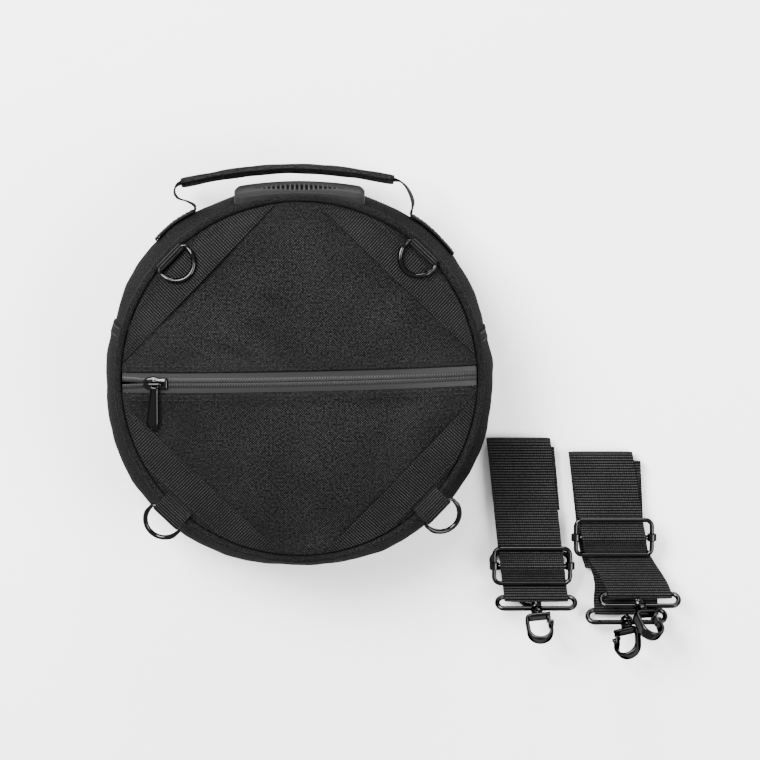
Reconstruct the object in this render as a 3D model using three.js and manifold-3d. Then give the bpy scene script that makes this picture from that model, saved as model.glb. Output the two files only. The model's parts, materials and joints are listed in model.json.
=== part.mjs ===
// A round chest bag lying on its back, with its two detachable straps folded beside it.
// Millimetres, +Z up. +Z is the front of the bag and +Y its carrying handle, and the
// origin is the middle of the back panel's underside.
import * as THREE from 'three';
import { mergeVertices } from 'three/addons/utils/BufferGeometryUtils.js';
import Module from 'manifold-3d';

const wasm = await Module();
wasm.setup();
const radians = THREE.MathUtils.degToRad;
const { smoothstep } = THREE.MathUtils;

// Shared thicknesses and facets
const GAP = 0.3;
const CLOTH = 2.2;
const WEBBING = 1.6;
const ROUND_FACETS = 52;
const WIRE_SIDES = 6;
const WELD = 1e-4;

// Bag body: two piped rims, a bulging gusset and a domed front
const SEAM_Z = 90;
const RIM_R = 139.5;
const PIPING_R = 3;
const PIPING_SIDES = 6;
const BACK_RIM_Z = 3.2;
const PANEL_R = 136.2;
const DOME_RISE = 17;
const DOME_POWER = 2.4;
const DOME_CELLS = 10;
const WALL_EDGE_R = 140.6;
const WALL = 2.4;
const WALL_BOTTOM = BACK_RIM_Z + PIPING_R + 0.4;
const WALL_TOP = SEAM_Z - PIPING_R - 0.4;
const WALL_ROUNDNESS = 0.75;
const LOWER_BULGE = 9.2;
const UPPER_BULGE = 4.9;
const UPPER_FROM = 14.6;
const UPPER_TO = 163.9;
const SECTOR_GAP = 0.15;

// Main zip in the upper gusset
const MAIN_ZIP_BOTTOM = 18.3;
const MAIN_ZIP_TOP = 30.7;
const MAIN_COIL_HALF = 2.6;
const ZIP_TAPE = 1.2;

// Front of the bag, turned a little against the gusset
const FRONT_TURN = 1.2;
const ZIP_HALF = 7.5;
const COIL_HALF = 3.4;
const COIL_PROUD = 0.35;
const ZIP_SUNK = 0.5;
const ZIP_OPEN_TO = -117;
const ZIP_OPEN_HALF = 8.4;
const BAND_INNER = 106.5;
const BAND_WIDTH = 25;
const CORNERS = [
  { name: 'top_right', angle: 45, upper: true },
  { name: 'top_left', angle: 135, upper: true },
  { name: 'bottom_left', angle: 225, upper: false },
  { name: 'bottom_right', angle: 315, upper: false },
];

// Zip slider and pull
const SLIDER_X = -110;
const SLIDER_LENGTH = 19;
const SLIDER_WIDTH = 11.5;
const SLIDER_PLATE = 2.4;
const SLIDER_LIFT = 0.85;
const SLIDER_PLAN = [[1, 0.8], [0.3, 0.75], [-0.1, 1], [-0.75, 0.75], [-1, 0.35]];
const BAIL_LENGTH = 13;
const BAIL_WIDTH = 1.8;
const BAIL_BAR = 1.5;
const BAIL_AXIS = 4.3;
const BAIL_ROUND = 1.4;
const PULL_LENGTH = 36;
const PULL_WIDTH = 8.5;
const PULL_THICK = 1.6;
const PULL_EYE_HALF = 3.2;
const PULL_WIRE = 1.3;
const PULL_RIM = 1.3;
const PULL_SUNK = 0.5;
const PULL_TAPER = 0.72;
const PULL_LEAN = 6;
const PULL_DROOP = 5;

// Rings and the webbing tabs that hold them
const TAB_WIDTH = 25;
const TAB_LAYER = 1.4;
const TAB_FOOT_R = [PANEL_R - 3, PANEL_R - 1.4];
const RING_WIRE_R = 1.5;
const RING_HALF = 14.6;
const RING_REACH = 20;
const RING_CORNER = 1.9;
const UPPER_BAR = { r: 136.5, z: SEAM_Z + 6.2, tilt: 8 };
const LOWER_BAR = { r: 146.5, z: SEAM_Z + 2.6, tilt: 25 };

// Moulded grip on the crown of the gusset
const GRIP_HALF = 50;
const GRIP_BACK_Z = 58;
const GRIP_FRONT_Z = 85;
const GRIP_PROUD = 5.2;
const GRIP_CORNER = 8;
const LENS_HALF = 36;
const LENS_WIDTH = 12;
const LENS_DEPTH = 1.6;
const LENS_Z = 72;
const LENS_RIBS = 9;
const LENS_RIB_WIDTH = 1.4;
const LENS_RIB_SPREAD = 0.8;
const LENS_RIB_LONG = 0.36;
const LENS_RIB_LOSS = 0.22;

// Carrying handle: a padded sleeve and two sewn webbing ends, leaning as it stands
const HANDLE_Z = 45.5;
const HANDLE_WEBBING = 25;
const HANDLE_LEAN = 13;
const SLEEVE_LEFT = [-91.3, 146.8];
const SLEEVE_CROWN = [-8, 158];
const SLEEVE_RIGHT = [72.8, 149.4];
const SLEEVE_WIDTH = 27;
const SLEEVE_THICK = 6.6;
const SLEEVE_PLUMP = 0.55;
const HANDLE_ENDS = [
  {
    name: 'handle_webbing_left',
    sewnFrom: 137,
    sewnTo: 122.6,
    loose: [[-79.6, 127.3], [-85.3, 130.9], [-93, 134.4], [-96.3, 139.4], [-95.2, 144.4], [-91.8, 146.7]],
  },
  {
    name: 'handle_webbing_right',
    sewnFrom: 38,
    sewnTo: 55,
    loose: [[85.2, 124], [86.6, 130.6], [85, 138.4], [81.4, 144.8], [77.4, 148.2], [73.2, 149.3]],
  },
];

// Straps: webbing folded round itself, a slide near the foot and two swivel snap hooks.
// End A lies on top. End B is tucked under it on the left strap and shows beside it on the right.
// The stiff loops of webbing hold the hooks that show up off the ground.
const STRAPS = [
  {
    name: 'left', x: 171.5, slant: 0.11, skew: 0.5, skewFrom: -150,
    top: -62, foot: -112, slide: -156, apart: 0,
  },
  {
    name: 'right', x: 236, slant: 0.16, skew: 13.2, skewFrom: -140,
    top: -73, foot: -158, slide: -133.5, apart: 12,
  },
];
const ENDS = {
  left: {
    a: { y: -181, z: 14.6, tilt: -45, lean: 7, roll: 0 },
    b: { y: -148, z: 4.9, tilt: 0, lean: 0, roll: 0 },
  },
  right: {
    a: { y: -178, z: 18.6, tilt: -42, lean: 21, roll: 25 },
    b: { y: -193, z: 4.9, tilt: -40, lean: 0, roll: 155 },
  },
};
const STRAP_WIDTH = 50;
const STRAP_PITCH = 2.1;
const STRAP_STEP = 30;
const FLOOR_LIFT = 0.1;
const FREE_LENGTH_B = 45;
const SLIDE_WIRE_R = 1.8;
const SLIDE_HALF_X = 29.7;
const SLIDE_HALF_Y = 13.7;
const SLIDE_CORNER = 5;
const SLEEVE_R = 3.7;
const SLEEVE_LENGTH = 6;
const EYE_WIRE_R = 2;
const EYE_HALF_X = 30.4;
const EYE_REACH = 11;
const BOSS_R = 4.5;
const BOSS_FROM = -7;
const BOSS_TO = -15.2;
const SHANK_R = 2;
const RIVET_R = 3.4;
const RIVET_HEAD = 1.3;
const COLLAR_TO = -18;
const HOOK_BAND = 3;
const HOOK_WIDTH = 9;
const HOOK_HALF = 9;
const HOOK_TOP = -19;
const HOOK_BEND = -32.5;
const HOOK_TIP = -29.5;
const HOOK_ROUND = 3;
const HOOK_LUG = 0.8;
const GATE_PIVOT = [8.1, -22.4];
const GATE_R = 1.6;
const GATE_THICK = 2.2;
const GATE_WIDTH = 7;
const THUMB_OUT = 3.4;
const THUMB_Y = [-5.5, -2];

const finish = (color, roughness, metalness = 0) =>
  new THREE.MeshStandardMaterial({ color, roughness, metalness });
const CLOTH_BLACK = finish(0x2b2b2d, 0.92);
const PIPING_BLACK = finish(0x28282a, 0.88);
const WEBBING_BLACK = finish(0x242427, 0.85);
const COATED_GREY = finish(0x55575a, 0.5);
const MOULDED_GREY = finish(0x7b7d80, 0.55);
const METAL_BLACK = finish(0x121214, 0.25, 0.9);

const root = new THREE.Group();

function piece(name, geometry, material, parent = root) {
  const mesh = new THREE.Mesh(geometry, material);
  mesh.name = name;
  parent.add(mesh);
  return mesh;
}

// Solids in and out of the boolean library

function toSolid(geometry) {
  const bare = geometry.clone();
  bare.deleteAttribute('normal');
  bare.deleteAttribute('uv');
  const welded = mergeVertices(bare, WELD);
  const index = welded.index.array;
  const triangles = [];
  for (let i = 0; i < index.length; i += 3) {
    const corners = [index[i], index[i + 1], index[i + 2]];
    if (new Set(corners).size === 3) triangles.push(...corners);
  }
  return new wasm.Manifold(new wasm.Mesh({
    numProp: 3,
    vertProperties: new Float32Array(welded.attributes.position.array),
    triVerts: new Uint32Array(triangles),
  }));
}

function toGeometry(solid) {
  const mesh = solid.getMesh();
  const geometry = new THREE.BufferGeometry();
  geometry.setAttribute('position', new THREE.BufferAttribute(mesh.vertProperties, 3));
  geometry.setIndex(new THREE.BufferAttribute(mesh.triVerts, 1));
  geometry.computeVertexNormals();
  return geometry;
}

const join = (...shapes) => toGeometry(shapes.map(toSolid).reduce((a, b) => a.add(b)));
const common = (...shapes) => toGeometry(shapes.map(toSolid).reduce((a, b) => a.intersect(b)));
const cut = (...shapes) => toGeometry(shapes.map(toSolid).reduce((a, b) => a.subtract(b)));

// Building blocks

function prism(shape, bottom, top, curveSegments = ROUND_FACETS / 2) {
  const options = { depth: top - bottom, bevelEnabled: false, curveSegments };
  return new THREE.ExtrudeGeometry(shape, options).translate(0, 0, bottom);
}

// A shape drawn in the X-Z plane, given its width along Y about the middle.
function standing(shape, width, curveSegments = 6) {
  return prism(shape, -width / 2, width / 2, curveSegments).rotateX(Math.PI / 2);
}

function box(x0, x1, y0, y1, z0, z1) {
  const block = new THREE.BoxGeometry(x1 - x0, y1 - y0, z1 - z0);
  return block.translate((x0 + x1) / 2, (y0 + y1) / 2, (z0 + z1) / 2);
}

// A rod along Y, from one y to another.
function rod(radius, y0, y1, sides = 10) {
  return new THREE.CylinderGeometry(radius, radius, y1 - y0, sides).translate(0, (y0 + y1) / 2, 0);
}

function reshape(geometry, place) {
  const at = geometry.attributes.position;
  const point = new THREE.Vector3();
  for (let i = 0; i < at.count; i++) {
    at.setXYZ(i, ...place(point.fromBufferAttribute(at, i)).toArray());
  }
  return geometry;
}

function tangentAt(points, i, closed = false) {
  const last = points.length - 1;
  const before = closed ? points.at(i - 1) : points[Math.max(i - 1, 0)];
  const after = closed ? points[(i + 1) % points.length] : points[Math.min(i + 1, last)];
  return after.clone().sub(before).normalize();
}

// A flat strip whose middle follows the points. sideAt gives the direction of its width at
// each point, and plump how far its thickness shrinks towards its edges.
function ribbon(points, sideAt, width, thickness, plump = 0, cells = 1) {
  const last = points.length - 1;
  const strip = new THREE.BoxGeometry(last, width, thickness, last, cells, 1);
  return reshape(strip, ({ x, y, z }) => {
    const i = Math.round(x + last / 2);
    const side = sideAt(i);
    const normal = tangentAt(points, i).cross(side).normalize();
    const height = z * (1 - plump * (2 * y / width) ** 4);
    return points[i].clone().addScaledVector(side, y).addScaledVector(normal, height);
  });
}

// A closed loop of round wire whose middle follows points in the X-Y plane, counter-clockwise.
function wireLoop(points, radius) {
  const ring = new THREE.TorusGeometry(radius * 4, radius, WIRE_SIDES, points.length);
  return reshape(ring, ({ x, y, z }) => {
    const turn = Math.atan2(y, x) / (2 * Math.PI);
    const i = Math.round((turn + 1) * points.length) % points.length;
    const along = tangentAt(points, i, true);
    const outward = new THREE.Vector3(along.y, -along.x, 0);
    const reach = Math.hypot(x, y) - radius * 4;
    return points[i].clone().addScaledVector(outward, reach).add(new THREE.Vector3(0, 0, z));
  });
}

function arcPoints(cx, cy, radius, fromDegrees, toDegrees, steps, stretch = 1) {
  return Array.from({ length: steps + 1 }, (_, i) => {
    const angle = radians(fromDegrees + (toDegrees - fromDegrees) * i / steps);
    return new THREE.Vector3(cx + radius * Math.cos(angle), cy + stretch * radius * Math.sin(angle), 0);
  });
}

function roundedLoop(halfX, low, high, corner, steps = 3) {
  return [
    ...arcPoints(halfX - corner, low + corner, corner, -90, 0, steps),
    ...arcPoints(halfX - corner, high - corner, corner, 0, 90, steps),
    ...arcPoints(corner - halfX, high - corner, corner, 90, 180, steps),
    ...arcPoints(corner - halfX, low + corner, corner, 180, 270, steps),
  ];
}

// Bag body

const dome = (r) => SEAM_Z + DOME_RISE * (1 - (r / PANEL_R) ** DOME_POWER);

function wallRadius(z, bulge) {
  const up = (z - WALL_BOTTOM) / (WALL_TOP - WALL_BOTTOM);
  return WALL_EDGE_R + bulge * Math.max(Math.sin(Math.PI * up), 0) ** WALL_ROUNDNESS;
}

// A ring that follows the gusset between two heights, from inner to outer above its surface.
function wallRing(bulge, bottom, top, inner, outer, steps) {
  const rise = (i) => bottom + (top - bottom) * i / steps;
  const profile = [];
  for (let i = 0; i <= steps; i++) {
    profile.push(new THREE.Vector2(wallRadius(rise(i), bulge) + outer, rise(i)));
  }
  for (let i = steps; i >= 0; i--) {
    profile.push(new THREE.Vector2(wallRadius(rise(i), bulge) + inner, rise(i)));
  }
  profile.push(profile[0].clone());
  return new THREE.LatheGeometry(profile, ROUND_FACETS).rotateX(Math.PI / 2);
}

function sector(ring, fromDegrees, toDegrees) {
  const slice = new THREE.Shape([new THREE.Vector2(0, 0)]);
  slice.absarc(0, 0, RIM_R * 1.3, radians(fromDegrees), radians(toDegrees));
  return common(ring, prism(slice, -SEAM_Z, 2 * SEAM_Z));
}

function buildBody() {
  const disc = new THREE.CylinderGeometry(PANEL_R, PANEL_R, CLOTH, ROUND_FACETS);
  piece('back_panel', disc.rotateX(Math.PI / 2).translate(0, 0, CLOTH / 2), CLOTH_BLACK);
  const rim = new THREE.TorusGeometry(RIM_R, PIPING_R, PIPING_SIDES, ROUND_FACETS);
  piece('front_rim', rim.clone().translate(0, 0, SEAM_Z), PIPING_BLACK);
  piece('back_rim', rim.clone().translate(0, 0, BACK_RIM_Z), PIPING_BLACK);

  const lower = wallRing(LOWER_BULGE, WALL_BOTTOM, WALL_TOP, -WALL, 0, 4);
  const lowerTo = 360 + UPPER_FROM - SECTOR_GAP;
  piece('gusset_lower', sector(lower, UPPER_TO + SECTOR_GAP, lowerTo), CLOTH_BLACK);
  const upper = (ring) => sector(ring, UPPER_FROM, UPPER_TO);
  const front = wallRing(UPPER_BULGE, MAIN_ZIP_TOP + GAP, WALL_TOP, -WALL, 0, 3);
  piece('gusset_upper_front', upper(front), CLOTH_BLACK);
  const back = wallRing(UPPER_BULGE, WALL_BOTTOM, MAIN_ZIP_BOTTOM - GAP, -WALL, 0, 2);
  piece('gusset_upper_back', upper(back), CLOTH_BLACK);
  const coilZ = (MAIN_ZIP_BOTTOM + MAIN_ZIP_TOP) / 2;
  const tapeTop = -ZIP_SUNK;
  const tape = wallRing(UPPER_BULGE, MAIN_ZIP_BOTTOM, MAIN_ZIP_TOP, tapeTop - ZIP_TAPE, tapeTop, 1);
  const coil = wallRing(
    UPPER_BULGE, coilZ - MAIN_COIL_HALF, coilZ + MAIN_COIL_HALF, tapeTop - ZIP_TAPE / 2, COIL_PROUD, 1);
  piece('main_zip', upper(join(tape, coil)), COATED_GREY);
}

// Domed front: every layer is a sheet that follows the dome, trimmed to its outline

function domedSheet(offset, thickness) {
  const side = 2 * (PANEL_R + CLOTH);
  const sheet = new THREE.BoxGeometry(side, side, thickness, DOME_CELLS, DOME_CELLS, 1);
  return reshape(sheet, (p) => p.setZ(p.z + thickness / 2 + offset + dome(Math.hypot(p.x, p.y))));
}

const circle = (radius) => new THREE.Shape().absarc(0, 0, radius, 0, 2 * Math.PI);

function domed(offset, thickness, outline, radius = PANEL_R) {
  return common(domedSheet(offset, thickness), prism(circle(radius), 0, 2 * SEAM_Z), outline);
}

function frontStrip(y0, y1, turn = FRONT_TURN) {
  return box(-2 * PANEL_R, 2 * PANEL_R, y0, y1, 0, 2 * SEAM_Z).rotateZ(radians(turn));
}

function buildFront() {
  const far = 2 * PANEL_R;
  const hem = ZIP_HALF + GAP;
  piece('front_panel_upper', domed(-CLOTH, CLOTH, frontStrip(hem, far)), CLOTH_BLACK);
  piece('front_panel_lower', domed(-CLOTH, CLOTH, frontStrip(-far, -hem)), CLOTH_BLACK);

  const tape = domed(-ZIP_SUNK - ZIP_TAPE, ZIP_TAPE, frontStrip(-ZIP_HALF, ZIP_HALF));
  const sunk = ZIP_SUNK + ZIP_TAPE / 2;
  const coil = domed(-sunk, sunk + COIL_PROUD, frontStrip(-COIL_HALF, COIL_HALF));
  const mouth = new THREE.Shape([
    new THREE.Vector2(ZIP_OPEN_TO, 0),
    new THREE.Vector2(-far, ZIP_OPEN_HALF),
    new THREE.Vector2(-far, -ZIP_OPEN_HALF),
  ]);
  const opened = prism(mouth, 0, far).rotateZ(radians(FRONT_TURN));
  piece('pocket_zip', cut(join(tape, coil), opened), COATED_GREY);

  for (const corner of CORNERS) {
    const strip = frontStrip(BAND_INNER, BAND_INNER + BAND_WIDTH, corner.angle - 90 + FRONT_TURN);
    piece(`corner_band_${corner.name}`, domed(GAP, WEBBING, strip, PANEL_R - 2 * GAP), WEBBING_BLACK);
  }
}

// Slider with an arched bail, and the pull whose eye passes under it

function buildZipSlider() {
  const seat = new THREE.Group();
  const out = Math.abs(SLIDER_X);
  const slope = (dome(out - 1) - dome(out + 1)) / 2;
  seat.position.set(SLIDER_X, SLIDER_X * Math.tan(radians(FRONT_TURN)), dome(out) + SLIDER_LIFT);
  seat.rotation.set(0, -Math.atan(slope), radians(FRONT_TURN));
  root.add(seat);

  const corners = SLIDER_PLAN
    .map(([x, y]) => new THREE.Vector2(x * SLIDER_LENGTH / 2, y * SLIDER_WIDTH / 2));
  const mirrored = corners.map((p) => new THREE.Vector2(p.x, -p.y));
  const plan = new THREE.Shape([...corners, ...mirrored.reverse()]);
  const foot = SLIDER_PLATE / 2;
  const bailTop = SLIDER_PLATE + BAIL_AXIS + BAIL_BAR / 2;
  const underside = bailTop - BAIL_BAR;
  const outer = BAIL_LENGTH / 2;
  const inner = outer - BAIL_BAR;
  const fillet = BAIL_ROUND / 2;
  const arch = new THREE.Shape([
    new THREE.Vector2(-outer, foot),
    new THREE.Vector2(-inner, foot),
    new THREE.Vector2(-inner, underside - fillet),
    new THREE.Vector2(-inner + fillet, underside),
    new THREE.Vector2(inner - fillet, underside),
    new THREE.Vector2(inner, underside - fillet),
    new THREE.Vector2(inner, foot),
    new THREE.Vector2(outer, foot),
    new THREE.Vector2(outer, bailTop - BAIL_ROUND),
    new THREE.Vector2(outer - BAIL_ROUND, bailTop),
    new THREE.Vector2(BAIL_ROUND - outer, bailTop),
    new THREE.Vector2(-outer, bailTop - BAIL_ROUND),
  ]);
  const body = join(prism(plan, 0, SLIDER_PLATE), standing(arch, BAIL_WIDTH));
  piece('zip_slider', body, METAL_BLACK, seat);

  const hinge = new THREE.Group();
  hinge.position.z = SLIDER_PLATE + BAIL_AXIS;
  hinge.rotation.x = radians(PULL_DROOP);
  seat.add(hinge);
  piece('zip_pull', pullShape(), METAL_BLACK, hinge);
}

// The pull lies towards -Y. Its eye runs under the bail, so it sits below the hinge line.
function pullShape() {
  const below = Math.hypot(BAIL_WIDTH, BAIL_BAR) / 2 + GAP + PULL_WIRE;
  const eyeFar = BAIL_WIDTH / 2 + 2 * GAP + PULL_WIRE;
  const neck = -eyeFar - 1;
  const wide = PULL_WIDTH / 2;
  const eye = new THREE.Shape([
    new THREE.Vector2(-PULL_EYE_HALF, neck),
    new THREE.Vector2(PULL_EYE_HALF, neck),
    new THREE.Vector2(PULL_EYE_HALF, eyeFar),
    new THREE.Vector2(-PULL_EYE_HALF, eyeFar),
  ]);
  eye.holes.push(new THREE.Path([
    new THREE.Vector2(PULL_WIRE - PULL_EYE_HALF, eyeFar - PULL_WIRE),
    new THREE.Vector2(PULL_EYE_HALF - PULL_WIRE, eyeFar - PULL_WIRE),
    new THREE.Vector2(PULL_EYE_HALF - PULL_WIRE, PULL_WIRE - eyeFar),
    new THREE.Vector2(PULL_WIRE - PULL_EYE_HALF, PULL_WIRE - eyeFar),
  ].reverse()));
  const tab = (grow, from) => {
    const outline = new THREE.Shape();
    outline.moveTo(-wide * PULL_TAPER + grow, from);
    outline.lineTo(-wide + grow, -PULL_LENGTH + wide);
    outline.absarc(0, -PULL_LENGTH + wide, wide - grow, Math.PI, 2 * Math.PI);
    outline.lineTo(wide * PULL_TAPER - grow, from);
    return outline;
  };
  const flat = prism(tab(0, neck + PULL_SUNK), 0, PULL_THICK, 5);
  const sunk = prism(tab(PULL_RIM, neck - PULL_RIM), PULL_THICK - PULL_SUNK, 2 * PULL_THICK, 5);
  const plate = cut(flat, sunk).rotateZ(radians(-PULL_LEAN));
  return join(prism(eye, 0, PULL_WIRE), plate).translate(0, 0, -below);
}

// Tabs and rings, drawn along +X from the middle of the bag and turned to their corners

function loopArc(bar, fromDegrees, toDegrees, steps) {
  const radius = RING_WIRE_R + GAP + TAB_LAYER;
  return arcPoints(bar.r, bar.z, radius, fromDegrees, toDegrees, steps);
}

function upperTabOutline() {
  const foot = dome(TAB_FOOT_R[0]) + GAP;
  return [
    ...TAB_FOOT_R.map((r) => new THREE.Vector3(r, foot, 0)),
    ...loopArc(UPPER_BAR, -70, 235, 9),
  ];
}

// The lower tab comes out beside its band, passes over the rim and folds round the bar.
function lowerTabOutline() {
  const start = BAND_INNER + BAND_WIDTH + 2 * GAP;
  const layers = 2 * TAB_LAYER;
  const over = PIPING_R + 3 * GAP;
  return [
    new THREE.Vector3(start, dome(start) + GAP, 0),
    new THREE.Vector3(PANEL_R - 2 * GAP, SEAM_Z + CLOTH, 0),
    ...arcPoints(RIM_R, SEAM_Z, over, 150, 60, 3),
    ...loopArc(LOWER_BAR, -120, 90, 7),
    new THREE.Vector3(RIM_R, SEAM_Z + over + layers, 0),
    new THREE.Vector3(start, dome(start) + GAP + layers, 0),
  ];
}

function ringWire() {
  return wireLoop([
    ...arcPoints(RING_CORNER, RING_CORNER - RING_HALF, RING_CORNER, 180, 270, 2),
    ...arcPoints(RING_CORNER, 0, RING_HALF, -90, 90, 12)
      .map((p) => p.setX(RING_CORNER + (p.x - RING_CORNER) * (RING_REACH - RING_CORNER) / RING_HALF))
      .slice(1, -1),
    ...arcPoints(RING_CORNER, RING_HALF - RING_CORNER, RING_CORNER, 90, 180, 2),
    new THREE.Vector3(0, 0, 0),
  ], RING_WIRE_R);
}

function buildRings() {
  for (const corner of CORNERS) {
    const bar = corner.upper ? UPPER_BAR : LOWER_BAR;
    const outline = corner.upper ? upperTabOutline() : lowerTabOutline();
    const seat = new THREE.Group();
    seat.rotation.z = radians(corner.angle + FRONT_TURN);
    root.add(seat);

    const loop = new THREE.Shape(outline.map((p) => new THREE.Vector2(p.x, p.y)));
    loop.holes.push(new THREE.Path().absarc(bar.r, bar.z, RING_WIRE_R + GAP, 0, 2 * Math.PI, true));
    piece(`ring_tab_${corner.name}`, standing(loop, TAB_WIDTH, 8), WEBBING_BLACK, seat);

    const ring = ringWire();
    if (corner.upper) ring.rotateZ(Math.PI);
    ring.rotateY(radians(bar.tilt)).translate(bar.r, 0, bar.z);
    piece(`d_ring_${corner.name}`, ring, METAL_BLACK, seat);
  }
}

// Moulded grip: a block on the gusset with round ends and a ribbed lens sunk in its crown

function buildTopGrip() {
  const ring = wallRing(UPPER_BULGE, GRIP_BACK_Z, GRIP_FRONT_Z, GAP, GRIP_PROUD, 3);
  const plan = new THREE.Shape();
  const cornerX = GRIP_HALF - GRIP_CORNER;
  const corners = [
    [cornerX, GRIP_BACK_Z + GRIP_CORNER, -90],
    [cornerX, GRIP_FRONT_Z - GRIP_CORNER, 0],
    [-cornerX, GRIP_FRONT_Z - GRIP_CORNER, 90],
    [-cornerX, GRIP_BACK_Z + GRIP_CORNER, 180],
  ];
  for (const [x, z, from] of corners) {
    plan.absarc(x, z, GRIP_CORNER, radians(from), radians(from + 90));
  }
  const lens = new THREE.Shape();
  lens.moveTo(-LENS_HALF, LENS_Z);
  lens.quadraticCurveTo(0, LENS_Z - LENS_WIDTH, LENS_HALF, LENS_Z);
  lens.quadraticCurveTo(0, LENS_Z + LENS_WIDTH, -LENS_HALF, LENS_Z);

  const above = standing(plan, RIM_R, 4).translate(0, RIM_R, 0);
  const block = common(ring, above);
  const crown = wallRadius(LENS_Z, UPPER_BULGE) + GRIP_PROUD;
  const sunk = common(
    wallRing(UPPER_BULGE, GRIP_BACK_Z, GRIP_FRONT_Z, GRIP_PROUD - LENS_DEPTH, 2 * GRIP_PROUD, 3),
    standing(lens, RIM_R, 5).translate(0, RIM_R, 0));
  const ribs = [];
  for (let i = 0; i < LENS_RIBS; i++) {
    const across = 2 * i / (LENS_RIBS - 1) - 1;
    const x = LENS_RIB_SPREAD * LENS_HALF * across;
    const half = LENS_WIDTH * (LENS_RIB_LONG - LENS_RIB_LOSS * across * across);
    const top = Math.sqrt(crown ** 2 - x ** 2) - LENS_DEPTH / 2;
    const edge = LENS_RIB_WIDTH / 2;
    ribs.push(box(x - edge, x + edge, top - 2 * LENS_DEPTH, top, LENS_Z - half, LENS_Z + half));
  }
  piece('top_grip', join(cut(block, sunk), ...ribs), MOULDED_GREY);
}

// Handle: the sleeve is an arc through three points, and each webbing end runs from its
// sewn patch on the gusset to the sleeve

const leanSide = (amount) => {
  const lean = radians(HANDLE_LEAN * amount);
  return new THREE.Vector3(0, Math.sin(lean), Math.cos(lean));
};

function buildHandle() {
  const [left, crown, right] = [SLEEVE_LEFT, SLEEVE_CROWN, SLEEVE_RIGHT]
    .map(([x, y]) => new THREE.Vector3(x, y, HANDLE_Z));
  const sleeve = new THREE.CatmullRomCurve3([left, crown, right]).getSpacedPoints(14);
  const grip = ribbon(sleeve, () => leanSide(1), SLEEVE_WIDTH, SLEEVE_THICK, SLEEVE_PLUMP, 4);
  piece('handle_grip', grip, CLOTH_BLACK);

  const seatR = wallRadius(HANDLE_Z, UPPER_BULGE) + GAP + WEBBING / 2;
  for (const end of HANDLE_ENDS) {
    const sewn = arcPoints(0, 0, seatR, end.sewnFrom, end.sewnTo, 5).map((p) => p.setZ(HANDLE_Z));
    const loose = end.loose.map(([x, y]) => new THREE.Vector3(x, y, HANDLE_Z));
    const free = new THREE.CatmullRomCurve3([sewn.at(-1), ...loose]).getSpacedPoints(14).slice(1);
    const route = [...sewn, ...free];
    const sideAt = (i) => leanSide(smoothstep(i, sewn.length, route.length - 1));
    piece(end.name, ribbon(route, sideAt, HANDLE_WEBBING, WEBBING), WEBBING_BLACK);
  }
}

// Straps: the webbing's route is drawn in the Y-Z plane, from the slide's bar to eye B

const level = (n) => FLOOR_LIFT + WEBBING / 2 + n * STRAP_PITCH;
const SLIDE_Z = level(6) + SLIDE_WIRE_R + 2 * GAP + WEBBING / 2;
const BAR_WRAP = SLIDE_WIRE_R + GAP + WEBBING / 2;
const EYE_WRAP = EYE_WIRE_R + GAP + WEBBING / 2;
const HUMP = SLIDE_Z + BAR_WRAP + WEBBING + 2 * GAP - level(6);
const HUMP_SPREAD = 6.3;
const HUMP_HALF = 12;
const HUMP_STEP = 4;
const PAST_FOLD = 2;
const EYE_LEAD = 5;
const SAG = 0.4;

function strapRoute({ name, top, foot, slide }) {
  const route = [];
  const { a, b } = ENDS[name];
  const inner = top - STRAP_PITCH * 1.5;
  const goTo = (y, z) => {
    const from = route.at(-1);
    const steps = Math.max(1, Math.round(Math.abs(y - from.x) / STRAP_STEP));
    for (let i = 1; i <= steps; i++) {
      route.push(from.clone().lerp(new THREE.Vector3(y, z, 0), i / steps));
    }
  };
  const fold = (y, z, radius, from, to, steps = 4) => {
    route.push(...arcPoints(y, z, radius, from, to, steps));
  };

  fold(slide, SLIDE_Z, BAR_WRAP, 150, -90, 6);
  goTo(slide - 8, level(5));
  goTo(a.y + EYE_LEAD, a.z - EYE_WRAP + SAG);
  fold(a.y, a.z, EYE_WRAP, -90, -270, 6);
  goTo(slide - SLIDE_HALF_Y - 1, level(6));
  for (let y = -HUMP_HALF; y <= HUMP_HALF; y += HUMP_STEP) {
    const rise = HUMP * Math.exp(-((y / HUMP_SPREAD) ** 2));
    route.push(new THREE.Vector3(slide + y, level(6) + rise, 0));
  }
  goTo(slide + SLIDE_HALF_Y + 1, level(6));
  goTo(slide + 2 * SLIDE_HALF_Y, level(5));
  goTo(top - PAST_FOLD, level(5));
  fold(top, level(2.5), level(2.5) - level(0), 90, -90, 8);
  const lowerFrom = route.length;
  goTo(foot + PAST_FOLD, level(0));
  fold(foot, level(0.5), STRAP_PITCH / 2, -90, -270);
  goTo(inner - PAST_FOLD, level(1));
  fold(inner, level(1.5), STRAP_PITCH / 2, -90, 90);
  goTo(foot + PAST_FOLD, level(2));
  fold(foot, level(2.5), STRAP_PITCH / 2, -90, -270);
  goTo(inner - PAST_FOLD, level(3));
  fold(inner, level(3.5), STRAP_PITCH / 2, -90, 90);
  goTo(foot + FREE_LENGTH_B / 2, level(4));
  goTo(foot, level(4) - SAG / 2);
  goTo(b.y + EYE_LEAD, b.z + EYE_WRAP);
  fold(b.y, b.z, EYE_WRAP, 90, 270, 6);
  goTo(foot - 2 * PAST_FOLD, b.z - EYE_WRAP);
  return { route, lowerFrom };
}

// How far the webbing has drifted sideways at y, and how far the lower layers lie apart from the upper.
function drift({ name, slant, skew, skewFrom, top }, y) {
  return slant * (top - y) + skew * smoothstep(skewFrom - y, 0, skewFrom - ENDS[name].a.y);
}

function driftB({ name, skewFrom, apart }, y) {
  return -apart * smoothstep(skewFrom - y, 0, skewFrom - ENDS[name].b.y);
}

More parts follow.
